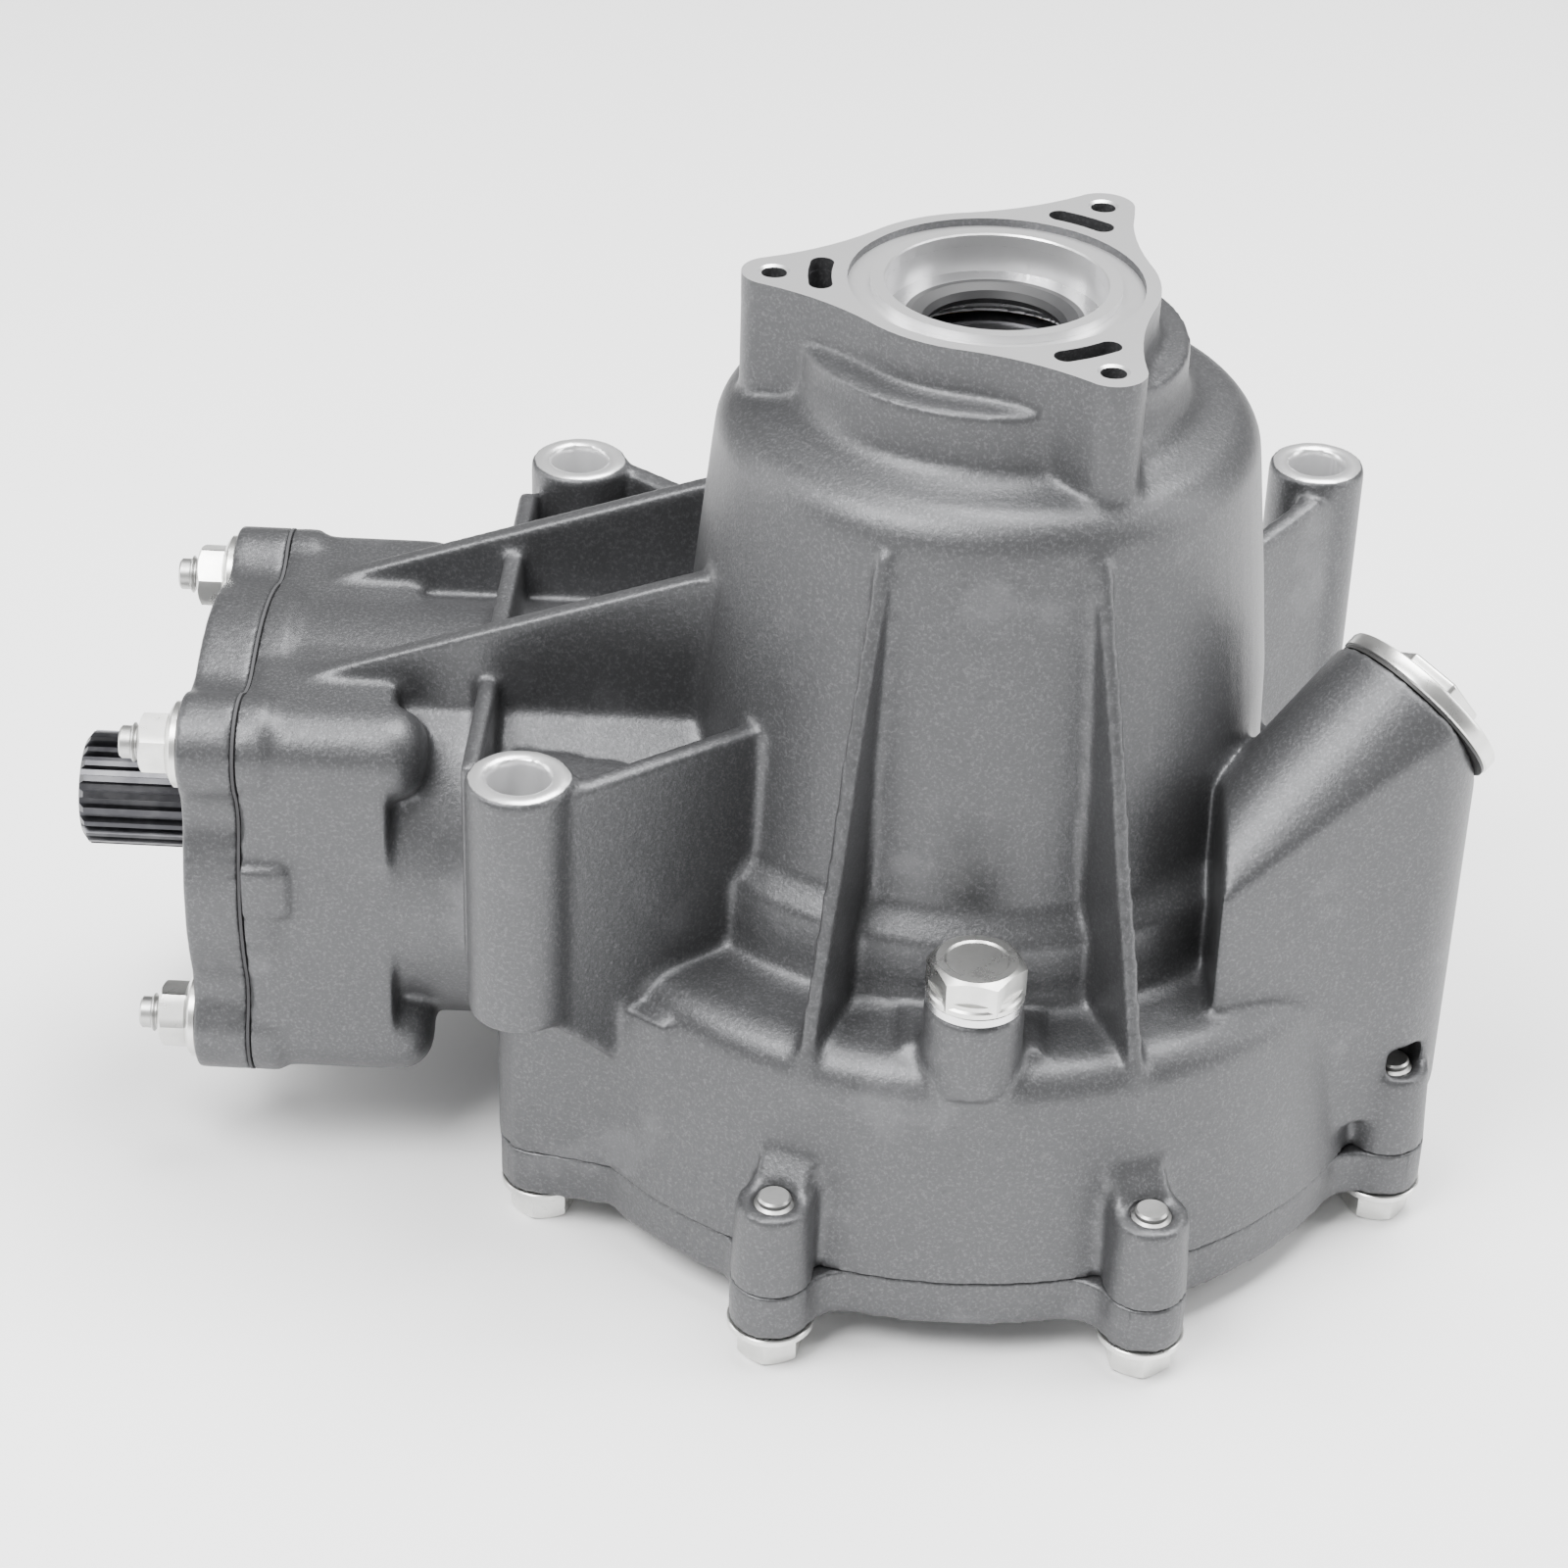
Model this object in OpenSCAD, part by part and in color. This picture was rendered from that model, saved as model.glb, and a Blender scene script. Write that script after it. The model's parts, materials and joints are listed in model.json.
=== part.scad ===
// Front differential of a light four-wheel-drive vehicle, standing on its side cover.
// The axle line is the Z axis and Z = 0 is the machined face of the output flange.
// The input shaft leaves towards -X. All sizes are in millimetres.

/* [Output flange] */
// Circle of the three tapped holes
flange_pcd = 86; // [82:0.5:90]
// Radius of the round middle of the flange
flange_hub_r = 31.8; // [31:0.1:33]
// Radius of each ear
flange_ear_r = 6.4; // [6:0.1:7]
// Depth of the flange block below its face
flange_depth = 25.6; // [22:0.2:27]
// Radius of the hollow blend from the middle to an ear
flange_blend_r = 60; // [50:1:70]
// Tapping drill radius of the flange holes
flange_tap_r = 2.5; // [2:0.1:2.6]
// Depth of the tapped holes
flange_tap_depth = 16; // [12:1:18]
// Radius of the axle seal bore
seal_bore_r = 21.6; // [21.2:0.1:22]
// Depth of the seal below the flange face
seal_drop = 8; // [6:0.5:8.5]
// Outer radius of the sealing groove in the face
groove_outer_r = 28.9; // [28.5:0.1:29.3]
// Inner radius of the sealing groove in the face
groove_inner_r = 24.4; // [23.8:0.1:25]
// Depth of the sealing groove
groove_depth = 1.6; // [1:0.1:2.5]
// Mean radius of the curved lightening slots
slot_r = 34.2; // [33.8:0.1:34.6]
// Width of the lightening slots
slot_w = 4.6; // [4:0.1:5]
// Half of the angle that a slot spans
slot_half_angle = 8; // [6:0.5:9]
// Depth of the lightening slots
slot_depth = 12; // [8:1:14]

/* [Bell and drum] */
// Radius of the bearing collar below the flange
collar_r = 38.3; // [38:0.1:40]
// Drop of the collar top below the flange face
collar_drop = 10; // [9:0.5:12]
// Drop of the bell shoulder below the flange face
shoulder_drop = 24; // [23.5:0.1:25]
// Radius of the bell at its shoulder
bell_top_r = 54; // [53.5:0.1:55]
// Radius of the bell at its foot
bell_foot_r = 60; // [59.5:0.1:61]
// Drop of the bell foot
bell_foot_drop = 106; // [104:0.5:108]
// Drop of the ring-gear drum shoulder
drum_drop = 127; // [126:0.5:128]
// Radius of the drum under its shoulder
drum_top_r = 87.5; // [87:0.1:88.5]
// Radius of the drum at the cover joint
drum_foot_r = 92; // [91.5:0.1:93]
// Drop of the cover joint below the flange face
joint_drop = 174; // [173:0.5:176]
// Wall of the casting
wall = 5; // [4.5:0.1:5.2]
// Thickness of the two tall ribs on the bell
rib_t = 3.2; // [2.5:0.1:5]
// Directions of the two tall ribs
rib_angles = [-110.5, -66.5];

/* [Side cover and its bolts] */
// Reach of the cover bolt circle past the foot of the drum
bolt_reach = 5.2; // [4.6:0.1:6]
// Directions of the cover bolts
bolt_angles = [-150, -111, -66.5, -21.5, 21.5, 66.5, 111, 150];
// Radius of a bolt column
column_r = 8.4; // [8:0.1:9]
// Height of the bolt columns above the joint
column_h = 18.5; // [17:0.5:20]
// Thickness of the cover
cover_t = 10.5; // [10:0.1:12]
// Thread radius of the cover bolts
bolt_r = 4; // [3.5:0.1:4.2]
// Length of the cover bolts under the head
bolt_len = 30; // [26:1:32]
// Width across flats of the cover bolt and stud nut heads
hex_af = 12; // [11:0.5:13]
// Flange radius of the bolt heads and nuts
hex_flange_r = 8.7; // [8.2:0.1:8.8]
// Height of a bolt head with its flange
hex_h = 8.2; // [7:0.2:9]

/* [Mounting bosses] */
// Outer radius of the mounting bosses
boss_r = 10.5; // [10:0.1:11.5]
// Radius of the mounting holes
boss_hole_r = 6.1; // [5:0.1:6.5]
// Place of the two bosses at the input side, along X
boss_left_x = -86.6; // [-88:0.2:-85]
// Distance of those bosses from the middle plane
boss_left_y = 64.9; // [63:0.2:66]
// Place of the third boss
boss_right = [75.2, 78.6];
// Drop of the boss tops
boss_drop = 76.8; // [74:0.2:79]
// Height of the bosses
boss_h = 54; // [50:1:56]
// Thickness of the boss webs
web_t = 5; // [4:0.5:6]

/* [Input side] */
// Drop of the input shaft below the flange face
input_drop = 126; // [126:0.1:126]
// Distance from the axle line to the pinion cover joint
input_face = 145.2; // [144.5:0.1:146]
// Sideways spacing of the studs from the shaft, as a half
stud_y = 34.1; // [33.8:0.1:34.6]
// Upward spacing of the studs from the shaft, as a half
stud_z = 33.2; // [32.8:0.1:33.6]
// Radius of the round middle of the input flange
input_hub_r = 45; // [44.5:0.1:46]
// Radius of the stud ears
stud_ear_r = 10.8; // [10.2:0.1:11.2]
// Thickness of the input flange of the housing
input_flange_t = 6; // [5:0.5:8]
// Length of the stud bosses behind the joint
stud_boss_len = 30; // [28:1:34]
// Thickness of the pinion cover
pinion_cover_t = 11.2; // [10.5:0.1:12]
// Thickness of the pinion gasket
gasket_t = 0.6; // [0.4:0.1:1]
// Thread radius of the studs
stud_r = 4; // [3.5:0.1:4.2]
// Length of stud past the cover
stud_out = 12.5; // [11:0.5:14]
// Spline radius of the input shaft
spline_r = 12; // [11:0.1:12.5]
// Number of splines on the input shaft
spline_teeth = 22; // [16:1:26]
// Length of spline past the cover
spline_len = 28; // [24:1:32]
// Distance of the two top ribs from the middle plane
top_rib_y = 20; // [17:0.5:22]
// Thickness of the two top ribs
top_rib_t = 4.5; // [3.5:0.1:6]

/* [Filler neck and plug] */
// Middle of the filler cap seat
neck_seat = [87, -21, -80];
// Compass direction of the neck
neck_turn = 36; // [33:1:38]
// Compass direction of the flat wall at the front of the neck
neck_wall_turn = 28; // [26:1:30]
// Rise of the neck above level
neck_rise = 36; // [34:1:38]
// Radius of the neck
neck_r = 19; // [18.5:0.1:19.5]
// Radius of the filler hole
neck_hole_r = 12; // [10:0.5:13]
// Thickness of the cap rim
cap_t = 3.6; // [3:0.1:4.5]
// Place of the level plug
plug_at = [2, -79.5];
// Drop of the level plug seat
plug_drop = 113.2; // [112.6:0.1:114]
// Radius of the level plug boss
plug_boss_r = 9.8; // [9.5:0.1:10.5]
// Width across flats of the level plug
plug_af = 17; // [16:0.5:18]
// Height of the level plug head
plug_head_h = 7.6; // [7:0.2:9]

/* [Crown wheel and pinion] */
// Teeth of the crown wheel
ring_teeth = 33; // [33:1:33]
// Teeth of the pinion
pinion_teeth = 10; // [10:1:10]
// Tooth module at the outer end
ring_module = 4; // [3.9:0.01:4]
// Face width of the teeth
ring_face = 20; // [18:0.5:21]
// Sweep of the spiral across the crown wheel face
ring_spiral = 7; // [0:0.5:9]
// Drop of the crown wheel back below the input shaft
ring_back_drop = 34; // [33.5:0.1:34.5]

/* [Differential gears] */
// Drop of the differential centre below the flange face
diff_drop = 72; // [71:0.5:73]
// Teeth of each side gear
side_teeth = 14; // [14:1:14]
// Teeth of each spider gear
spider_teeth = 10; // [10:1:10]
// Tooth module at the outer end
diff_module = 3.4; // [3.3:0.01:3.4]
// Face width of the teeth
diff_face = 10; // [8:0.5:11]
// Radius of the cross shaft
cross_r = 7; // [6:0.1:7.5]
// Radius of the spherical chamber of the differential case
chamber_r = 31; // [30.6:0.1:31.5]
// Wall of the differential case
case_wall = 7; // [5.5:0.1:7.5]
// Radius of the axle holes in the case
axle_r = 13.5; // [12.8:0.1:14]

/* [Bearings] */
// Bore radius of the carrier bearings
carrier_bore_r = 17.5; // [17.2:0.1:17.8]
// Outer radius of the carrier bearings
carrier_out_r = 31; // [30.5:0.1:31.4]
// Width of the carrier bearings
carrier_w = 14; // [13:0.5:14]
// Bore radius of the pinion bearings
pinion_bore_r = 15; // [14.8:0.1:15.3]
// Outer radius of the inner pinion bearing
nose_out_r = 31; // [30.5:0.1:31.5]
// Width of the inner pinion bearing
nose_w = 16; // [15:0.5:17]
// Outer radius of the outer pinion bearing
tail_out_r = 36; // [35.5:0.1:36.2]
// Width of the outer pinion bearing
tail_w = 19; // [18:0.5:19]
// Distance from the axle line to the inner pinion bearing
nose_at = 74; // [73.5:0.1:75]

/* [Hidden] */
$fn = 64;
// Clearance of parts pressed or clamped together
seat_fit = 0.01;
// Radial clearance of parts that turn on each other
run_fit = 0.04;
// A cut runs this far past the face that it leaves
past = 1;
// A blend bites this far into the discs that it joins, so that no edge ends in a cusp
bite = 0.03;
bolt_circle_r = drum_foot_r + bolt_reach;
cast_grey = [0.62, 0.63, 0.64];
machined = [0.82, 0.83, 0.84];
zinc = [0.85, 0.86, 0.84];
steel = [0.55, 0.56, 0.58];
dark_steel = [0.25, 0.25, 0.27];
rubber_black = [0.08, 0.08, 0.08];

// Points of an arc about a centre, from one angle to another
function arc(c, r, a0, a1, n = 4) =
    [for (i = [0:n]) c + r * [cos(a0 + (a1 - a0) * i / n), sin(a0 + (a1 - a0) * i / n)]];
// Round plate with ears joined by hollow blends; ears is a list of [x, y]
module eared_plate_2d(hub_r, ear_r, ears, blend_r) {
    circle(r = hub_r);
    for (e = ears) {
        d = norm(e);
        turn = atan2(e[1], e[0]);
        fx = (d * d + pow(hub_r + blend_r - bite, 2) - pow(ear_r + blend_r - bite, 2)) / (2 * d);
        fy = sqrt(pow(hub_r + blend_r - bite, 2) - fx * fx);
        rotate(turn) {
            translate([d, 0]) circle(r = ear_r);
            difference() {
                polygon([[0, 0], [fx, -fy], [d, 0], [fx, fy]]);
                for (s = [-1, 1]) translate([fx, s * fy]) circle(r = blend_r);
            }
        }
    }
}
// Ring of rectangular section
module ring(inner_r, outer_r, h) {
    difference() {
        cylinder(r = outer_r, h = h);
        translate([0, 0, -past]) cylinder(r = inner_r, h = h + 2 * past);
    }
}
// Places children on the input axis, their +Z pointing out of the housing
module on_input(out) {
    translate([-out, 0, -input_drop]) rotate([0, -90, 0]) children();
}
// Places children at each cover bolt
module at_bolts(z, angles = bolt_angles) {
    for (a = angles) rotate(a) translate([bolt_circle_r, 0, z]) children();
}
// Places children at each stud of the input flange
module at_studs(out) {
    on_input(out) for (sx = [-1, 1], sy = [-1, 1]) translate([sx * stud_z, sy * stud_y, 0]) children();
}
// Hexagon head with a round flange; the flange lies on z = 0 and the head rises above it
module flanged_hex(af, flange_r, h) {
    flange_h = h * 0.2;
    intersection() {
        cylinder(r = af / sqrt(3), h = h, $fn = 6);
        union() {
            cylinder(r = af / sqrt(3) + past, h = h - af * 0.09);
            translate([0, 0, h - af * 0.09])
                cylinder(r1 = af / sqrt(3) + 0.2, r2 = af * 0.46, h = af * 0.09);
        }
    }
    cylinder(r = flange_r, h = flange_h);
    translate([0, 0, flange_h]) cylinder(r1 = flange_r, r2 = af * 0.52, h = flange_h * 0.9);
}

// Housing

flange_ears = [for (a = [180, 60, -60]) flange_pcd / 2 * [cos(a), sin(a)]];
bearing_top = -(seal_drop + 8);
shim_t = 1;
seal_w = 7;
upper_race_z = bearing_top - shim_t - carrier_w;
chamber_top = upper_race_z - 1;
neck_dir = [cos(neck_rise) * cos(neck_turn), cos(neck_rise) * sin(neck_turn), sin(neck_rise)];
shoulder_fillet = 9;
drum_fillet = 8;
bell_low_r = bell_foot_r + 5.5;

module bell_and_drum() {
    rotate_extrude() polygon(concat(
        [[0, -collar_drop - 2], [collar_r - 1, -collar_drop - 2], [collar_r + 0.6, -shoulder_drop + 3]],
        [[collar_r + 3.5, -shoulder_drop + 0.8]],
        arc([bell_top_r - shoulder_fillet, -shoulder_drop - shoulder_fillet], shoulder_fillet, 90, 0, 6),
        [[bell_top_r + 3, -60], [bell_foot_r - 1, -80], [bell_foot_r, -bell_foot_drop]],
        arc([bell_low_r - 4, -bell_foot_drop - 7.5], 4, 60, 0, 3),
        arc([bell_low_r + 4, -drum_drop + 4.4], 4, 180, 270, 4),
        arc([drum_top_r - drum_fillet, -drum_drop - drum_fillet], drum_fillet, 90, 0, 5),
        [[drum_foot_r - 2.5, -150], [drum_foot_r, -joint_drop], [0, -joint_drop]]));
}
// Open space round the differential case and the crown wheel
module gear_chamber() {
    rotate_extrude() polygon([[0, chamber_top], [carrier_out_r + 5, chamber_top],
        [bell_top_r - wall - 5, chamber_top - 2], [bell_top_r - wall, -shoulder_drop - 14],
        [bell_foot_r - wall - 1, -80], [bell_foot_r - wall, -bell_foot_drop - 4],
        [bell_low_r - wall, -bell_foot_drop - 9], [bell_low_r - wall + 2, -drum_drop - wall],
        [drum_top_r - wall - 6, -drum_drop - wall], [drum_top_r - wall - 1, -drum_drop - wall - 6],
        [drum_foot_r - wall - 2, -joint_drop - past], [0, -joint_drop - past]]);
}
module output_flange() {
    translate([0, 0, -flange_depth]) linear_extrude(flange_depth)
        eared_plate_2d(flange_hub_r, flange_ear_r, flange_ears, flange_blend_r);
    // Wider collar that carries the bearing
    translate([0, 0, -shoulder_drop - 2]) cylinder(r = collar_r, h = shoulder_drop + 2 - collar_drop);
}
// Everything that is bored or tapped from the flange face
module output_flange_cuts() {
    translate([0, 0, bearing_top + 1]) cylinder(r = seal_bore_r, h = past - bearing_top);
    translate([0, 0, -0.3]) cylinder(r1 = seal_bore_r, r2 = seal_bore_r + 0.6, h = 0.6);
    translate([0, 0, bearing_top - past]) cylinder(r = seal_bore_r - 2.6, h = 3);
    translate([0, 0, chamber_top - past]) cylinder(r = carrier_out_r, h = bearing_top - chamber_top + past);
    translate([0, 0, -groove_depth]) ring(groove_inner_r, groove_outer_r, groove_depth + past);
    for (e = flange_ears) translate([e[0], e[1], 0]) {
        translate([0, 0, -flange_tap_depth]) cylinder(r = flange_tap_r, h = flange_tap_depth + past);
        translate([0, 0, -0.4]) cylinder(r1 = flange_tap_r, r2 = flange_tap_r + 1.2, h = 0.8);
    }
    for (a = [180, 60, -60]) rotate(a) translate([0, 0, -slot_depth]) linear_extrude(slot_depth + past)
        curved_slot_2d();
}
module curved_slot_2d() {
    intersection() {
        difference() {
            circle(r = slot_r + slot_w / 2);
            circle(r = slot_r - slot_w / 2);
        }
        polygon([[0, 0], 2 * slot_r * [cos(slot_half_angle), -sin(slot_half_angle)],
            2 * slot_r * [cos(slot_half_angle), sin(slot_half_angle)]]);
    }
    for (s = [-1, 1]) rotate(s * slot_half_angle) translate([slot_r, 0]) circle(r = slot_w / 2 + bite);
}
module tall_ribs() {
    for (a = rib_angles) rotate(a) rotate([90, 0, 0]) translate([0, 0, -rib_t / 2]) linear_extrude(rib_t)
        polygon([[bell_top_r - 6, -shoulder_drop - 8], [bell_top_r + 1.5, -shoulder_drop - 9],
            [bell_top_r + 5.5, -45], [68.3, -70], [74.7, -93], [81, -bell_foot_drop - 6],
            [drum_top_r - 1.5, -drum_drop - 1], [drum_top_r + 0.4, -drum_drop - 8],
            [bell_low_r, -drum_drop - 10], [bell_top_r - 4, -60]]);
}
// Columns for the cover bolts, each tied to the drum by a block
module bolt_columns() {
    at_bolts(-joint_drop) {
        cylinder(r1 = column_r, r2 = column_r - 0.8, h = column_h);
        translate([-10, -column_r * 0.85, 0]) cube([10, column_r * 1.7, column_h]);
        rotate([90, 0, 0]) translate([0, 0, -column_r * 0.7]) linear_extrude(column_r * 1.4)
            polygon([[-14, 0], [-2, 0], [-2, column_h], [-8, column_h + 7], [-14, column_h + 12]]);
    }
}
// One mounting boss at the input side with its webs; side is -1 at the front and 1 at the back
module left_boss(side) {
    mirror([0, side < 0 ? 1 : 0, 0]) {
        boss_turn = atan2(boss_left_y, boss_left_x);
        boss_reach = norm([boss_left_x, boss_left_y]);
        web_foot = -joint_drop + 42;
        translate([boss_left_x, boss_left_y, -boss_drop - boss_h]) cylinder(r = boss_r, h = boss_h);
        // Web from the boss to the bell
        rotate(boss_turn) rotate([90, 0, 0]) translate([0, 0, boss_r - web_t - 1.5]) linear_extrude(web_t)
            polygon([[bell_top_r - 2, -boss_drop - 1.5], [boss_reach - boss_r + 1, -boss_drop - 1.5],
                [boss_reach, -boss_drop - 8], [boss_reach, -boss_drop - boss_h + 1],
                [drum_top_r - 6, -joint_drop + 20], [bell_foot_r, -joint_drop + 30]]);
        // Block under the web, flush with the first cover lobe
        translate([0, 0, -joint_drop]) linear_extrude(web_foot + joint_drop)
            polygon([[-drum_foot_r - 1.2, 20], [-drum_foot_r - 1.2, 50.5], [-89.5, 55.5],
                [-84, bolt_circle_r * sin(150) + column_r],
                [-70, 60], [-58, 68], [-40, 40], [-60, 20]]);
        // Filling between the web and the tube
        translate([0, 0, -joint_drop + 20]) linear_extrude(joint_drop - boss_drop - 36)
            polygon([[-91, 30], [-91, 52], [-88, 56], [-60, 44], [-50, 34]]);
        // Cross web from the top rib out to the boss
        translate([-99, top_rib_y - 1, -input_drop]) cube([4, boss_left_y - boss_r - top_rib_y + 3,
            input_drop - boss_drop - 4]);
    }
}
module right_boss() {
    boss_turn = atan2(boss_right[1], boss_right[0]);
    boss_reach = norm(boss_right);
    translate([boss_right[0], boss_right[1], -boss_drop - boss_h]) cylinder(r = boss_r, h = boss_h);
    rotate(boss_turn) rotate([90, 0, 0]) translate([0, 0, boss_r - web_t - 1]) linear_extrude(web_t)
        polygon([[bell_top_r - 2, -boss_drop - 13], [boss_reach - boss_r + 1, -boss_drop - 3],
            [boss_reach, -boss_drop - 8], [boss_reach, -boss_drop - boss_h + 1], [drum_top_r - 3, -joint_drop + 24],
            [bell_foot_r, -joint_drop + 30]]);
}
module boss_holes() {
    for (p = [[boss_left_x, boss_left_y], [boss_left_x, -boss_left_y], boss_right])
        translate([p[0], p[1], -boss_drop]) {
            translate([0, 0, -boss_h - past]) cylinder(r = boss_hole_r, h = boss_h + 2 * past);
            translate([0, 0, -0.8]) cylinder(r1 = boss_hole_r, r2 = boss_hole_r + 1.6, h = 1.6);
        }
}
module input_plate_2d(grow = 0) {
    eared_plate_2d(input_hub_r + grow, stud_ear_r + grow,
        [for (sx = [-1, 1], sy = [-1, 1]) [sx * stud_z, sy * stud_y]], 12 - grow);
}
// Tube of the pinion, its flange and the long round-ended bosses of the studs
stud_boss_r = stud_ear_r - 1.4;
stud_boss_round = 7;
module input_tube() {
    tube_r = input_hub_r - 1.4;
    flat = stud_boss_r - bite;
    on_input(0) translate([0, 0, bell_foot_r - 10]) cylinder(r = tube_r, h = input_face - bell_foot_r + 9);
    on_input(input_face - input_flange_t) linear_extrude(input_flange_t) input_plate_2d();
    // Cast tab at the front of the tube, behind the joint
    translate([-input_face, -input_hub_r - 0.6, -input_drop]) cube([9.5, 8, 11]);
    at_studs(input_face - stud_boss_len) rotate_extrude() polygon(concat(
        arc([stud_boss_r - stud_boss_round, 0], stud_boss_round, -90, 0, 5),
        [[stud_boss_r, stud_boss_len - 1], [0, stud_boss_len - 1], [0, -stud_boss_round]]));
    // Flat sides and top between the stud bosses
    on_input(input_face - stud_boss_len) {
        translate([-stud_z, -stud_y - flat, 0]) cube([2 * stud_z, 2 * (stud_y + flat), stud_boss_len - 1]);
        translate([-stud_z - flat, -stud_y, 0]) cube([2 * (stud_z + flat), 2 * stud_y, stud_boss_len - 1]);
    }
    // Two ribs along the top
    for (s = [-1, 1]) translate([0, s * top_rib_y + top_rib_t / 2, 0]) rotate([90, 0, 0])
        linear_extrude(top_rib_t) polygon([[-bell_top_r + 8, -57 + 2], [-bell_top_r - 3, -57],
            [-input_face + 8, -input_drop + stud_z + stud_ear_r - 2], [-input_face + 8, -input_drop + 30],
            [-bell_top_r + 8, -input_drop + 20]]);
    translate([-98, -top_rib_y, -input_drop]) cube([4, 2 * top_rib_y, input_drop - boss_drop + 2]);
}
nose_shoulder = nose_at - shim_t;
tail_at = input_face - 2 - tail_w;
spigot_len = input_face - tail_at - tail_w;
// Stepped bore of the pinion and its bearings
module input_bores() {
    // Room for the pinion head between the chamber and its inner bearing
    on_input(nose_shoulder - ring_face - 14) cylinder(r = nose_out_r - 4, h = ring_face + 14 + past);
    on_input(nose_shoulder) cylinder(r = nose_out_r, h = tail_at - nose_shoulder + past);
    on_input(tail_at) cylinder(r = tail_out_r, h = input_face - tail_at + past);
    at_studs(input_face - 22) cylinder(r = stud_r, h = 22 + past);
    // Breather drilling in the top of the tube
    translate([-81, 4, -input_drop + nose_out_r - 3]) cylinder(r = 1.6, h = 20);
    translate([-81, 4, -input_drop + input_hub_r - 9]) cylinder(r = 4, h = 20);
}
// Neck that the oil is filled through, with the straight wall in front of it and under it
neck_wall_r = neck_r - 0.6;
neck_left_x = 49;
neck_hole_depth = 38;
neck_end_back = 5.4;
module at_neck() {
    translate(neck_seat) rotate([0, 90 - neck_rise, neck_turn]) children();
}
// Plan of the neck: straight at the front and at the left end, round at the right end
module neck_plan_2d(rear) {
    intersection() {
        translate([neck_seat[0], neck_seat[1]]) rotate(neck_wall_turn) {
            translate([-80, -neck_wall_r]) square([80 - neck_end_back, neck_wall_r + rear]);
            translate([-neck_end_back, 0]) circle(r = neck_wall_r + bite);
            translate([-neck_end_back, 0]) square([neck_wall_r - 1, rear]);
        }
        translate([neck_left_x, -120]) square(240);
    }
}
module filler_neck() {
    intersection() {
        at_neck() translate([0, 0, -90]) cylinder(r = neck_r, h = 90);
        translate([0, 0, -joint_drop + 8]) linear_extrude(joint_drop - 8) neck_plan_2d(40);
    }
    intersection() {
        translate([0, 0, -joint_drop + 8]) linear_extrude(joint_drop - 8 + neck_seat[2] + 30) neck_plan_2d(12);
        at_neck() translate([0, -60, -200]) cube([200, 120, 200]);
    }
}
module filler_cuts() {
    turn_in = atan2(neck_seat[1] - neck_hole_depth * neck_dir[1], neck_seat[0] - neck_hole_depth * neck_dir[0]);
    at_neck() {
        translate([0, 0, -neck_hole_depth]) cylinder(r = neck_hole_r, h = neck_hole_depth + past);
        cylinder(r = neck_r + 12, h = 40);
    }
    // Passage from the foot of the filler hole into the bell
    translate([0, 0, neck_seat[2] - neck_hole_depth * neck_dir[2] + 4]) rotate(turn_in) rotate([0, 90, 0])
        translate([0, 0, bell_top_r - wall - 8]) cylinder(r = 8, h = norm([neck_seat[0], neck_seat[1]]) - bell_top_r
            + wall - 8);
}
module plug_boss() {
    translate([plug_at[0], plug_at[1], -plug_drop - 18]) cylinder(r = plug_boss_r, h = 18);
    // Low saddle that ties the boss to the skirt
    translate([plug_at[0] - plug_boss_r - 4, plug_at[1], -drum_drop - 6])
        cube([2 * (plug_boss_r + 4), -plug_at[1] - bell_low_r + 4, 8]);
}
plug_shank_r = 6;
plug_washer_t = 1.6;
module main_housing() {
    color(cast_grey) difference() {
        union() {
            bell_and_drum();
            output_flange();
            tall_ribs();
            bolt_columns();
            left_boss(-1);
            left_boss(1);
            right_boss();
            input_tube();
            filler_neck();
            plug_boss();
        }
        difference() {
            gear_chamber();
            // Inner wall that carries the pinion bearings
            on_input(nose_shoulder - 2) cylinder(r = input_hub_r - 1, h = 40);
        }
        output_flange_cuts();
        boss_holes();
        input_bores();
        filler_cuts();
        at_bolts(-joint_drop - past) cylinder(r = bolt_r + seat_fit, h = column_h + 2 * past);
        at_bolts(-joint_drop - past, dowel_angles) cylinder(r = dowel_r + seat_fit, h = dowel_len / 2 + past);
        translate([plug_at[0], plug_at[1], -plug_drop - 14]) cylinder(r = plug_shank_r + seat_fit, h = 16);
        // Nothing of the castings reaches past the cover joint
        translate([-130, -130, -joint_drop - 20]) cube([260, 260, 20]);
    }
}

// Side cover

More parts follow.
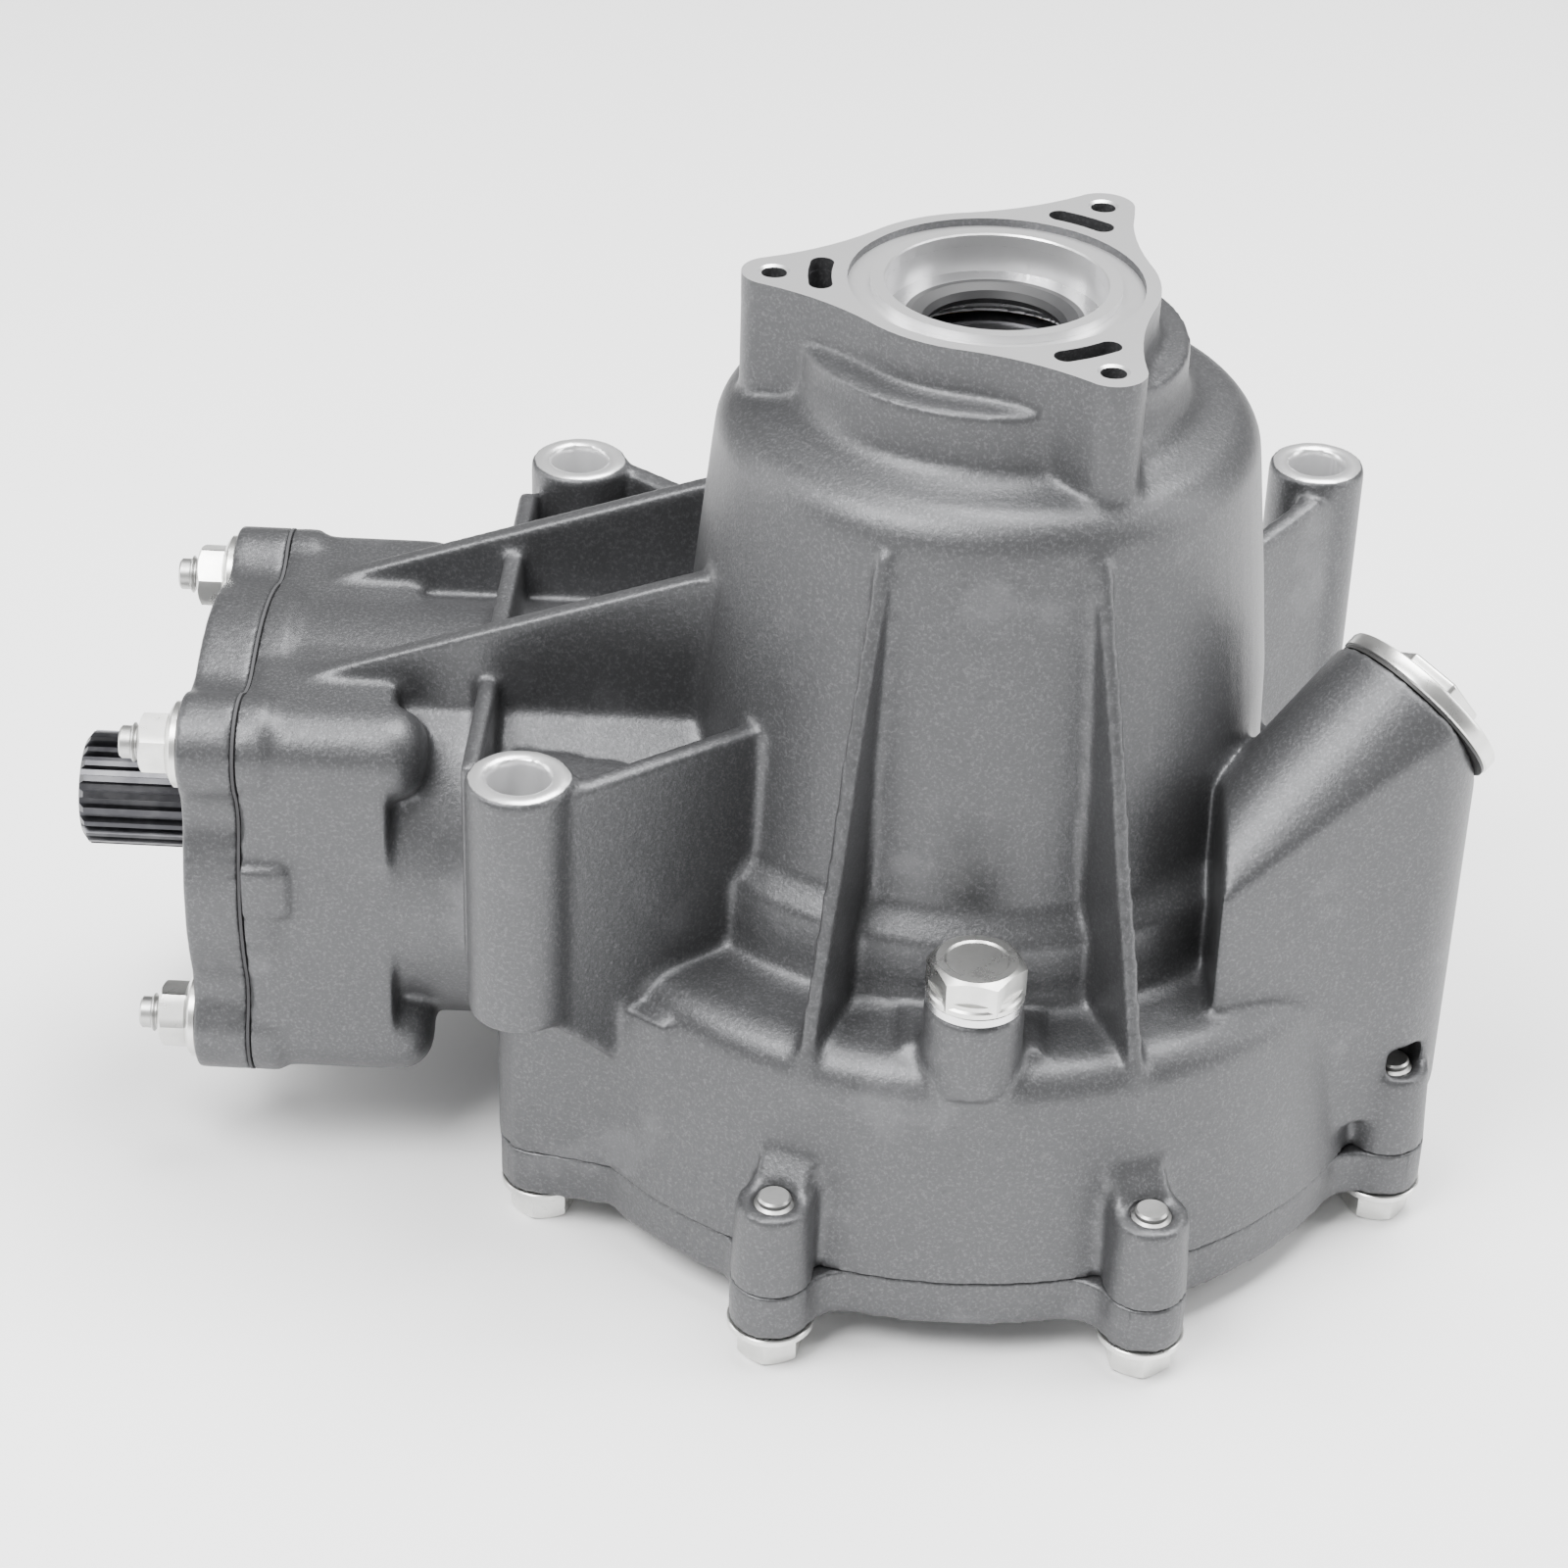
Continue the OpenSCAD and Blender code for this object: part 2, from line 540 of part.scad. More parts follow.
dowel_angles = [-111, 66.5];
dowel_r = 5;
dowel_len = 10;
o_ring_r = (drum_foot_r * 2 - wall - 2) / 2 + 0.2;
o_ring_w = 2.6;
o_ring_depth = 1.9;
cover_hub_len = 5.5;
hub_drop = joint_drop + cover_t + cover_hub_len;
lower_race_z = -(hub_drop - 8.5);
cover_bottom = -joint_drop - cover_t;
module side_cover() {
    lobes = [for (a = bolt_angles) bolt_circle_r * [cos(a), sin(a)]];
    color(cast_grey) difference() {
        union() {
            translate([0, 0, cover_bottom]) linear_extrude(cover_t) {
                eared_plate_2d(drum_foot_r - 0.5, column_r, lobes, 8);
                for (s = [-1, 1]) scale([1, s]) polygon([[-60, 20], [-drum_foot_r - 0.8, 20],
                    [-drum_foot_r - 0.8, 50.5], [-89.5, 55.5],
                    [-84, bolt_circle_r * sin(150) + column_r], [-66, 60]]);
            }
            translate([0, 0, -hub_drop]) cylinder(r = carrier_out_r + 5, h = hub_drop + lower_race_z + carrier_w - 1);
            for (a = [0:45:315]) rotate(a) translate([carrier_out_r, -2, -hub_drop + 1])
                cube([drum_foot_r - carrier_out_r - 8, 4, hub_drop - joint_drop - cover_t]);
        }
        translate([0, 0, lower_race_z - shim_t]) cylinder(r = carrier_out_r, h = 40);
        translate([0, 0, -hub_drop - past]) cylinder(r = seal_bore_r, h = seal_w + past);
        translate([0, 0, -hub_drop]) cylinder(r = seal_bore_r - 2.6, h = 20);
        translate([0, 0, -joint_drop - o_ring_depth]) ring(o_ring_r - o_ring_w / 2, o_ring_r + o_ring_w / 2, 10);
        // Shallow pan that keeps the wall even
        translate([0, 0, -joint_drop - cover_t + wall]) ring(carrier_out_r + 5, drum_foot_r - wall - 5, 20);
        at_bolts(cover_bottom - past) cylinder(r = bolt_r + 0.5, h = cover_t + 2 * past);
        at_bolts(-joint_drop - dowel_len / 2, dowel_angles) cylinder(r = dowel_r + seat_fit, h = 20);
    }
}
module cover_o_ring() {
    color(rubber_black) translate([0, 0, -joint_drop - o_ring_depth])
        ring(o_ring_r - o_ring_w / 2 + seat_fit, o_ring_r + o_ring_w / 2 - seat_fit, o_ring_depth);
}
module dowel_sleeves() {
    color(steel) at_bolts(-joint_drop - dowel_len / 2, dowel_angles) ring(bolt_r + 0.3, dowel_r, dowel_len);
}
module cover_bolts() {
    color(zinc) at_bolts(cover_bottom) {
        cylinder(r = bolt_r, h = bolt_len);
        rotate([180, 0, 0]) flanged_hex(hex_af, hex_flange_r, hex_h);
    }
}

// Plug and filler cap

module level_plug() {
    color(zinc) translate([plug_at[0], plug_at[1], -plug_drop + plug_washer_t]) {
        translate([0, 0, -13]) cylinder(r = plug_shank_r, h = 13);
        flanged_hex(plug_af, plug_af * 0.56, plug_head_h);
    }
}
module level_plug_washer() {
    color("silver") translate([plug_at[0], plug_at[1], -plug_drop])
        ring(plug_shank_r + 0.2, plug_boss_r - 0.2, plug_washer_t);
}
cap_seal_t = 0.6;
module filler_cap() {
    color(zinc) at_neck() {
        translate([0, 0, -14]) cylinder(r = neck_hole_r - seat_fit, h = 15 + cap_seal_t);
        translate([0, 0, cap_seal_t]) cylinder(r = neck_r, h = cap_t - 1);
        translate([0, 0, cap_seal_t + cap_t - 1]) cylinder(r1 = neck_r, r2 = neck_r - 1, h = 1);
        translate([0, 0, cap_seal_t + cap_t - 1]) cylinder(r = 11, h = 4, $fn = 6);
    }
}
module filler_cap_seal() {
    color(rubber_black) at_neck()
        ring(neck_hole_r + 0.3, neck_r - 0.6, cap_seal_t);
}

// Input cover

cover_face = input_face + gasket_t;
input_seal_r = 22.5;
input_seal_w = 7;
journal_r = 14;
module pinion_cover() {
    color(cast_grey) difference() {
        union() {
            on_input(cover_face) linear_extrude(pinion_cover_t) input_plate_2d();
            on_input(cover_face - spigot_len - gasket_t) cylinder(r = tail_out_r - seat_fit, h = spigot_len + 2);
        }
        on_input(input_face - spigot_len - past) cylinder(r = tail_out_r - 6, h = spigot_len + 3);
        on_input(cover_face - past) cylinder(r = input_seal_r - 3, h = 40);
        on_input(cover_face + pinion_cover_t - input_seal_w - 1) cylinder(r = input_seal_r, h = 40);
        at_studs(cover_face - past) cylinder(r = stud_r + 0.4, h = pinion_cover_t + 2 * past);
    }
}
module pinion_gasket() {
    color("dimgray") on_input(input_face) linear_extrude(gasket_t) difference() {
        input_plate_2d();
        circle(r = tail_out_r + 0.2);
        for (sx = [-1, 1], sy = [-1, 1]) translate([sx * stud_z, sy * stud_y]) circle(r = stud_r + 0.4);
    }
}
module pinion_studs() {
    color(zinc) at_studs(input_face - 20) {
        cylinder(r = stud_r - seat_fit, h = 19 + gasket_t + pinion_cover_t + stud_out);
        translate([0, 0, 19 + gasket_t + pinion_cover_t + stud_out])
            cylinder(r1 = stud_r - seat_fit, r2 = stud_r - 1, h = 1);
    }
}
module pinion_nuts() {
    color(zinc) at_studs(cover_face + pinion_cover_t) difference() {
        flanged_hex(hex_af, hex_flange_r, hex_h);
        translate([0, 0, -past]) cylinder(r = stud_r, h = hex_h + 2 * past);
    }
}
// Oil seal with a steel shell and a lip that rides on the shaft; its open side is at z = 0
module oil_seal(out_r, lip_r, w) {
    rotate_extrude() polygon([[out_r, 0], [out_r, w], [lip_r + 3, w], [lip_r + 0.8, w - 0.8],
        [lip_r, w - 2.2], [lip_r + 0.8, w - 3.6], [lip_r + 3.2, w - 2.4], [out_r - 1.6, w - 2], [out_r - 1.6, 0]]);
}
module input_seal() {
    color(dark_steel) on_input(cover_face + pinion_cover_t - input_seal_w - 1)
        oil_seal(input_seal_r - seat_fit, journal_r + run_fit, input_seal_w);
}
module output_seals() {
    color(dark_steel) {
        translate([0, 0, -seal_drop - seal_w]) oil_seal(seal_bore_r - seat_fit, axle_r + run_fit, seal_w);
        translate([0, 0, -hub_drop + seal_w]) rotate([180, 0, 0])
            oil_seal(seal_bore_r - seat_fit, axle_r + run_fit, seal_w);
    }
}

// Bearings

function ball_r(bore, out) = (out - bore) * 0.3;
function ball_track(bore, out) = (bore + out) / 2;
ball_gap = 0.03;
module outer_race(bore, out, w) {
    rotate_extrude() difference() {
        translate([ball_track(bore, out) + ball_r(bore, out) * 0.62, 0])
            square([out - seat_fit - ball_track(bore, out) - ball_r(bore, out) * 0.62, w]);
        translate([ball_track(bore, out), w / 2]) circle(r = ball_r(bore, out) + ball_gap);
    }
}
module inner_race(bore, out, w) {
    rotate_extrude() difference() {
        translate([bore + seat_fit, 0])
            square([ball_track(bore, out) - ball_r(bore, out) * 0.62 - bore - seat_fit, w]);
        translate([ball_track(bore, out), w / 2]) circle(r = ball_r(bore, out) + ball_gap);
    }
}
module ball_set(bore, out, w, count) {
    for (i = [0:count - 1]) rotate(i * 360 / count) translate([ball_track(bore, out), 0, w / 2])
        sphere(r = ball_r(bore, out));
}
module ball_cage(bore, out, w, count) {
    br = ball_r(bore, out);
    difference() {
        translate([0, 0, w / 2 - br - 1.2]) ring(ball_track(bore, out) - br * 0.3, ball_track(bore, out) + br * 0.3,
            2 * br + 2.4);
        for (i = [0:count - 1]) rotate(i * 360 / count) translate([ball_track(bore, out), 0, w / 2])
            rotate([0, 90, 0]) translate([0, 0, -br]) cylinder(r = br + ball_gap, h = 2 * br);
    }
}
carrier_ball_count = 11;
nose_ball_count = 9;
tail_ball_count = 8;
module at_carrier_bearings() {
    translate([0, 0, upper_race_z]) children();
    translate([0, 0, lower_race_z]) children();
}
module carrier_outer_races() {
    color(steel) at_carrier_bearings() outer_race(carrier_bore_r, carrier_out_r, carrier_w);
}
module carrier_inner_races() {
    color(steel) at_carrier_bearings() inner_race(carrier_bore_r, carrier_out_r, carrier_w);
}
module carrier_balls() {
    color(machined) at_carrier_bearings() ball_set(carrier_bore_r, carrier_out_r, carrier_w, carrier_ball_count);
}
module carrier_cages() {
    color("goldenrod") at_carrier_bearings() ball_cage(carrier_bore_r, carrier_out_r, carrier_w, carrier_ball_count);
}
module carrier_shims() {
    color(steel) {
        translate([0, 0, upper_race_z + carrier_w]) ring(carrier_out_r - 4, carrier_out_r - seat_fit, shim_t);
        translate([0, 0, lower_race_z - shim_t]) ring(carrier_out_r - 4, carrier_out_r - seat_fit, shim_t);
    }
}
module pinion_outer_races() {
    color(steel) {
        on_input(nose_at) outer_race(pinion_bore_r, nose_out_r, nose_w);
        on_input(tail_at) outer_race(pinion_bore_r, tail_out_r, tail_w);
    }
}
module pinion_inner_races() {
    color(steel) {
        on_input(nose_at) inner_race(pinion_bore_r, nose_out_r, nose_w);
        on_input(tail_at) inner_race(pinion_bore_r, tail_out_r, tail_w);
    }
}
module pinion_balls() {
    color(machined) {
        on_input(nose_at) ball_set(pinion_bore_r, nose_out_r, nose_w, nose_ball_count);
        on_input(tail_at) ball_set(pinion_bore_r, tail_out_r, tail_w, tail_ball_count);
    }
}
module pinion_cages() {
    color("goldenrod") {
        on_input(nose_at) ball_cage(pinion_bore_r, nose_out_r, nose_w, nose_ball_count);
        on_input(tail_at) ball_cage(pinion_bore_r, tail_out_r, tail_w, tail_ball_count);
    }
}
module pinion_shim() {
    color(steel) on_input(nose_shoulder) ring(nose_out_r - 4, nose_out_r - seat_fit, shim_t);
}

// Bevel gears. Every gear has its apex at the origin and its axis on +Z, and its sections shrink
// towards the apex, so two gears that share an apex mesh along their whole face.

pressure_angle = 25;
// Involute function of an angle, in degrees
function involute(a) = tan(a) * 180 / PI - a;
// Half angle of a tooth at radius r of the developed back cone
function tooth_half(r, rv, m, shift, lash) = let (rb = rv * cos(pressure_angle))
    (PI * m / 2 + 2 * shift * m * tan(pressure_angle) - lash) / (2 * rv) * 180 / PI
    + involute(pressure_angle) - involute(acos(min(1, rb / r)));
// Toothed blank: the rim runs from the outer ends of the teeth to a round back face
module bevel_teeth(z, mate, m, face, addendum, dedendum, shift, lash, back_r, back_z, spiral = 0,
    flank = 3, steps = 1) {
    cone = atan(z / mate);
    reach = z * m / 2 / sin(cone);
    rv = reach * tan(cone);
    toe = (reach - face) / reach;
    radii = [for (i = [0:flank]) rv - dedendum * m + (addendum + dedendum) * m * i / flank];
    half = [for (r = radii) tooth_half(r, rv, m, shift, lash) / cos(cone)];
    tooth = concat([for (i = [0:flank]) [-half[i], radii[i]]], [for (i = [flank:-1:0]) [half[i], radii[i]]]);
    count = z * len(tooth);
    rim = [for (t = [0:z - 1], p = tooth) let (a = t * 360 / z + p[0]) [back_r * cos(a), back_r * sin(a), back_z]];
    flanks = [for (s = [0:steps]) let (k = 1 - (1 - toe) * s / steps) for (t = [0:z - 1], p = tooth)
        let (a = t * 360 / z + p[0] + spiral * s / steps, h = p[1] - rv)
        k * [(reach * sin(cone) + h * cos(cone)) * cos(a), (reach * sin(cone) + h * cos(cone)) * sin(a),
            reach * cos(cone) - h * sin(cone)]];
    toe_z = toe * (reach * cos(cone) + dedendum * m * sin(cone));
    last = (steps + 1) * count;
    sides = [for (s = [0:steps], i = [0:count - 1])
        let (a = s * count + i, b = s * count + (i + 1) % count)
        each [[a, b, b + count], [a, b + count, a + count]]];
    front = [for (i = [0:count - 1]) [last + count, last + i, last + (i + 1) % count]];
    polyhedron(points = concat(rim, flanks, [[0, 0, toe_z]]),
        faces = concat(sides, [[for (i = [count - 1:-1:0]) i]], front));
}
ring_pitch_r = ring_module * ring_teeth / 2;
// Tooth heights and thickening as shares of the module
ring_addendum = 0.6;
pinion_addendum = 1.3;
root_gap = 0.25;
tooth_shift = 0.4;
tooth_lash = 0.12;
ring_bore_r = 42;
ring_out_r = ring_pitch_r + 1.4;
ring_bolt_r = 52;
ring_bolt_count = 10;
ring_bolt_len = 16;
flange_t = 6.5;
case_flange_z = -input_drop - ring_back_drop;
module crown_wheel() {
    color(steel) translate([0, 0, -input_drop]) rotate([180, 0, 0]) difference() {
        bevel_teeth(ring_teeth, pinion_teeth, ring_module, ring_face, ring_addendum, pinion_addendum + root_gap,
            -tooth_shift, tooth_lash, ring_out_r, ring_back_drop, spiral = -ring_spiral, flank = 2, steps = 3);
        cylinder(r = ring_bore_r + seat_fit, h = 60);
        for (i = [0:ring_bolt_count - 1]) rotate(i * 360 / ring_bolt_count) translate([ring_bolt_r, 0, 0])
            translate([0, 0, ring_back_drop - ring_bolt_len + flange_t - 1]) cylinder(r = bolt_r, h = 40);
    }
}
module crown_wheel_bolts() {
    color(dark_steel) for (i = [0:ring_bolt_count - 1]) rotate(i * 360 / ring_bolt_count)
        translate([ring_bolt_r, 0, case_flange_z - flange_t]) {
            cylinder(r = bolt_r - seat_fit, h = ring_bolt_len);
            translate([0, 0, -5]) cylinder(r = 6.4, h = 5);
        }
}
module spline_2d(r, depth, count) {
    step = 360 / count;
    polygon([for (i = [0:count - 1], p = [[-0.3, 0], [-0.17, 1], [0.17, 1], [0.3, 0]])
        (r - depth + depth * p[1]) * [cos((i + p[0]) * step), sin((i + p[0]) * step)]]);
}
shaft_end = cover_face + pinion_cover_t + spline_len;
module pinion_shaft() {
    color(dark_steel) on_input(0) {
        bevel_teeth(pinion_teeth, ring_teeth, ring_module, ring_face, pinion_addendum, ring_addendum + root_gap,
            tooth_shift, tooth_lash, 15.5, ring_pitch_r + 3, spiral = ring_spiral * ring_teeth / pinion_teeth,
            flank = 5, steps = 3);
        translate([0, 0, ring_pitch_r - 6]) cylinder(r = 13, h = 14);
        translate([0, 0, ring_pitch_r + 2.4]) cylinder(r = 19, h = nose_at - ring_pitch_r - 2.4);
        difference() {
            translate([0, 0, nose_at - past]) cylinder(r = pinion_bore_r, h = tail_at + tail_w + 3 - nose_at + past);
            translate([0, 0, tail_at + tail_w]) ring(pinion_bore_r - 1, pinion_bore_r + 2, 1.5);
        }
        translate([0, 0, tail_at + tail_w + 2]) cylinder(r = journal_r, h = cover_face + pinion_cover_t - 1 - tail_at
            - tail_w - 2);
        translate([0, 0, cover_face + pinion_cover_t - 2]) intersection() {
            linear_extrude(spline_len + 2) spline_2d(spline_r, 1.4, spline_teeth);
            union() {
                cylinder(r = spline_r + 1, h = spline_len);
                translate([0, 0, spline_len]) cylinder(r1 = spline_r + 1, r2 = spline_r - 1.6, h = 2);
            }
        }
    }
}
module pinion_snap_ring() {
    color(steel) on_input(tail_at + tail_w + seat_fit) difference() {
        ring(pinion_bore_r - 1 + seat_fit, pinion_bore_r + 2.2, 1.4);
        translate([0, -2, -past]) cube([20, 4, 4]);
    }
}
module pinion_spacer() {
    color(steel) on_input(nose_at + nose_w) ring(pinion_bore_r + seat_fit, pinion_bore_r + 3.5,
        tail_at - nose_at - nose_w);
}

// Differential case

case_r = chamber_r + case_wall;
case_bolt_head_r = 4.4;
split_flange_r = case_r + 9.6;
case_bolt_at = case_r + case_bolt_head_r + 0.4;
split_flange_t = 5;
hub_r = carrier_bore_r;
side_pitch_z = diff_module * spider_teeth / 2;
side_depth = 1.15;
side_back = side_pitch_z + side_depth * diff_module * sin(atan(side_teeth / spider_teeth)) + 2;
side_washer_t = 1.2;
side_hub_r = 15.5;
side_hub_end = 38;
flat_z = side_back + side_washer_t + 2 * run_fit;
pad_r = 23.5;
// Holes and chamber that both halves of the case share, about the differential centre
module case_inside() {
    sphere(r = chamber_r);
    translate([0, 0, -flat_z]) cylinder(r = pad_r, h = 2 * flat_z);
    translate([0, 0, -side_hub_end - 0.5]) cylinder(r = side_hub_r + run_fit, h = 2 * side_hub_end + 1);
    rotate([90, 0, 0]) translate([0, 0, -60]) cylinder(r = cross_r + seat_fit, h = 120);
    for (a = [0:60:300]) rotate(a) translate([case_bolt_at, 0, -20]) cylinder(r = 3, h = 40);
    translate([0, chamber_r + 3.6, -12]) cylinder(r = 1.5, h = 24);
    translate([0, 0, -200]) cylinder(r = axle_r, h = 400);
}
module case_cap() {
    upper_end = bearing_top - 1.5;
    color("slategray") difference() {
        intersection() {
            union() {
                translate([0, 0, -diff_drop]) sphere(r = case_r);
                translate([0, 0, -diff_drop]) cylinder(r = split_flange_r, h = split_flange_t);
                translate([0, 0, -diff_drop + 20]) cylinder(r1 = 27, r2 = hub_r + 4, h = 15);
                translate([0, 0, -diff_drop + 20]) cylinder(r = hub_r + 3.5, h = upper_race_z + diff_drop - 20);
                translate([0, 0, -diff_drop + 20]) cylinder(r = hub_r, h = upper_end + diff_drop - 20);
            }
            translate([0, 0, -diff_drop]) cylinder(r = 60, h = 80);
        }
        translate([0, 0, -diff_drop]) case_inside();
    }
}
module case_body() {
    neck_outer = 25;
    color("slategray") difference() {
        union() {
            intersection() {
                union() {
                    translate([0, 0, -diff_drop]) sphere(r = case_r);
                    translate([0, 0, -diff_drop - split_flange_t]) cylinder(r = split_flange_r, h = split_flange_t);
                }
                translate([0, 0, -diff_drop - 60]) cylinder(r = 60, h = 60);
            }
            rotate_extrude() polygon([[0, -diff_drop - 24], [27, -diff_drop - 24], [neck_outer, -diff_drop - 34],
                [neck_outer, -input_drop - 18], [ring_bore_r - 4, -input_drop - 22], [ring_bore_r, -input_drop - 24],
                [ring_bore_r, case_flange_z], [ring_bolt_r + 9, case_flange_z],
                [ring_bolt_r + 9, case_flange_z - flange_t], [hub_r + 3.5, case_flange_z - flange_t],
                [hub_r + 3.5, lower_race_z + carrier_w], [hub_r, lower_race_z + carrier_w],
                [hub_r, lower_race_z + 0.5], [0, lower_race_z + 0.5]]);
        }
        translate([0, 0, -diff_drop]) case_inside();
        for (i = [0:ring_bolt_count - 1]) rotate(i * 360 / ring_bolt_count)
            translate([ring_bolt_r, 0, case_flange_z - flange_t - past]) cylinder(r = bolt_r + 0.2, h = flange_t + 2 * past);
    }
}
module case_bolts() {
    color(dark_steel) translate([0, 0, -diff_drop]) for (a = [0:60:300]) rotate(a) translate([case_bolt_at, 0, 0]) {
        translate([0, 0, -split_flange_t]) cylinder(r = 3 - seat_fit, h = 2 * split_flange_t);
        translate([0, 0, split_flange_t]) cylinder(r = case_bolt_head_r, h = 4, $fn = 6);
    }
}
module cross_shaft() {
    color(steel) translate([0, 0, -diff_drop]) difference() {
        rotate([90, 0, 0]) translate([0, 0, -split_flange_r + 1]) cylinder(r = cross_r, h = 2 * split_flange_r - 2);
        translate([0, chamber_r + 3.6, -12]) cylinder(r = 1.5, h = 24);
    }
}
module cross_shaft_pin() {
    color(dark_steel) translate([0, chamber_r + 3.6, -diff_drop - 10]) cylinder(r = 1.5 - seat_fit, h = 20);
}
module side_gear() {
    color(steel) difference() {
        union() {
            bevel_teeth(side_teeth, spider_teeth, diff_module, diff_face, 0.7, side_depth, -0.05, tooth_lash,
                pad_r - 2, side_back);
            translate([0, 0, side_back - 1]) cylinder(r = side_hub_r, h = side_hub_end - side_back + 1);
        }
        translate([0, 0, -past]) linear_extrude(side_hub_end + 2 * past) spline_2d(axle_r - 0.4, 1.3, 24);
    }
}
module upper_side_gear() {
    translate([0, 0, -diff_drop]) side_gear();
}
module lower_side_gear() {
    translate([0, 0, -diff_drop]) rotate([180, 0, 0]) side_gear();
}
washer_t = 0.9;
module spider_gear() {
    color(steel) difference() {
        intersection() {
            union() {
                rotate(180 / spider_teeth)
                    bevel_teeth(spider_teeth, side_teeth, diff_module, diff_face, 0.85, 1.0, 0.05, tooth_lash,
                        13, chamber_r + 2);
            }
            sphere(r = chamber_r - washer_t - 2 * run_fit);
        }
        cylinder(r = cross_r + run_fit, h = 60);
    }
}
module front_spider_gear() {
    translate([0, 0, -diff_drop]) rotate([90, 0, 0]) spider_gear();
}
module rear_spider_gear() {
    translate([0, 0, -diff_drop]) rotate([-90, 0, 0]) spider_gear();
}
module side_thrust_washers() {
    color("goldenrod") for (s = [-1, 1]) translate([0, 0, -diff_drop + s * (side_back + run_fit + side_washer_t / 2)])
        translate([0, 0, -side_washer_t / 2]) ring(side_hub_r + 0.3, pad_r - 1.5, side_washer_t);
}
module spider_thrust_washers() {
    color("goldenrod") translate([0, 0, -diff_drop]) for (s = [-1, 1]) rotate([s * 90, 0, 0]) difference() {
        intersection() {
            sphere(r = chamber_r - run_fit);
            translate([0, 0, 10]) cylinder(r = 12.5, h = 40);
        }
        sphere(r = chamber_r - run_fit - washer_t);
        cylinder(r = cross_r + 0.1, h = 60);
    }
}

main_housing();
side_cover();
cover_o_ring();
dowel_sleeves();
cover_bolts();
level_plug();
level_plug_washer();
filler_cap();
filler_cap_seal();
pinion_cover();
pinion_gasket();
pinion_studs();
pinion_nuts();
input_seal();
output_seals();
carrier_outer_races();
carrier_shims();
pinion_outer_races();
pinion_shim();
pinion_shaft();
pinion_inner_races();
pinion_spacer();
pinion_snap_ring();
pinion_balls();
pinion_cages();
crown_wheel();
crown_wheel_bolts();
case_body();
case_cap();
case_bolts();
cross_shaft();
cross_shaft_pin();
carrier_inner_races();
side_thrust_washers();
spider_thrust_washers();
carrier_balls();
carrier_cages();
upper_side_gear();
lower_side_gear();
front_spider_gear();
rear_spider_gear();
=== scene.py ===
"""Looks of the front differential: cast skins, fasteners, finishes, studio and camera.

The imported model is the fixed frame. Every length below is in metres, in the frame of the part:
the axle line is Z, the output flange face is Z = 0 and the input shaft leaves towards -X.
"""

import json
import logging
import math
from collections.abc import Callable, Sequence
from dataclasses import dataclass
from enum import Enum

import bmesh
import bpy
import numpy as np
from mathutils import Matrix, Vector

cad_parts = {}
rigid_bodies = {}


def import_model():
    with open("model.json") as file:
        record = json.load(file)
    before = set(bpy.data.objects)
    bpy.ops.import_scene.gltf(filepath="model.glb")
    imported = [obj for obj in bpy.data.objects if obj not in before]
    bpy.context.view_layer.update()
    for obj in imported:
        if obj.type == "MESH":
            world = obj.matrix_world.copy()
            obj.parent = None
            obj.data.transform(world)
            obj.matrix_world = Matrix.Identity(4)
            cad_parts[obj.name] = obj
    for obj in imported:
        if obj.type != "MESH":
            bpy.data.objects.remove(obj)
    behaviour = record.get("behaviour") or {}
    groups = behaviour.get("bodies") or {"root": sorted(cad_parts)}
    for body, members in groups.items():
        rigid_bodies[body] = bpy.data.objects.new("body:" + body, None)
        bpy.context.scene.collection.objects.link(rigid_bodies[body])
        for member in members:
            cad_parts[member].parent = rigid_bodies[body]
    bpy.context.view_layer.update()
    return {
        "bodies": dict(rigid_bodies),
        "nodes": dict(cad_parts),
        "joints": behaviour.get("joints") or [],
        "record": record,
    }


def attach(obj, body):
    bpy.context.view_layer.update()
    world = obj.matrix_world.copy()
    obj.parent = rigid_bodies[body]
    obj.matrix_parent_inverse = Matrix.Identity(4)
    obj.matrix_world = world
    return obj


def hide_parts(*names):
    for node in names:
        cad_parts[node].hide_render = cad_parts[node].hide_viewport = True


LOG = logging.getLogger("differential")
MM = 0.001

Number = float | int
Colour = tuple[float, float, float]


class Axis(Enum):
    """Directions of the part's two lines."""

    AXLE = (0.0, 0.0, 1.0)
    INPUT = (-1.0, 0.0, 0.0)


@dataclass(frozen=True)
class Bosses:
    """The three long mounting bosses, which stand upright and are faced on top.

    Attributes:
        places: Where their lines cross the plane of X and Y.
        radius: Their radius at the top.
        top: Height of the faced tops.
        crisp: Share of the radius inside which the skin stays sharp.
        bore: Share of the radius inside which the metal is drilled.
    """

    places: tuple[tuple[float, float], ...] = ((-0.0866, -0.0649), (-0.0866, 0.0649), (0.0752, 0.0786))
    radius: float = 0.0105
    top: float = -0.0768
    crisp: float = 0.8
    bore: float = 0.65


def millimetres(*values: Number) -> Vector:
    """Point in metres.

    Args:
        values: The coordinates in millimetres.

    Returns:
        The point as a vector in metres.
    """
    return Vector(values) * MM


def turn_to(direction: Sequence[float], place: Vector) -> Matrix:
    """Matrix that carries a piece modelled on +Z to its place.

    Args:
        direction: Where the piece's +Z goes.
        place: Where the piece's origin goes.

    Returns:
        The rotation followed by the move.
    """
    turn = Vector(Axis.AXLE.value).rotation_difference(Vector(direction).normalized())
    return Matrix.Translation(place) @ turn.to_matrix().to_4x4()


# Shader maths


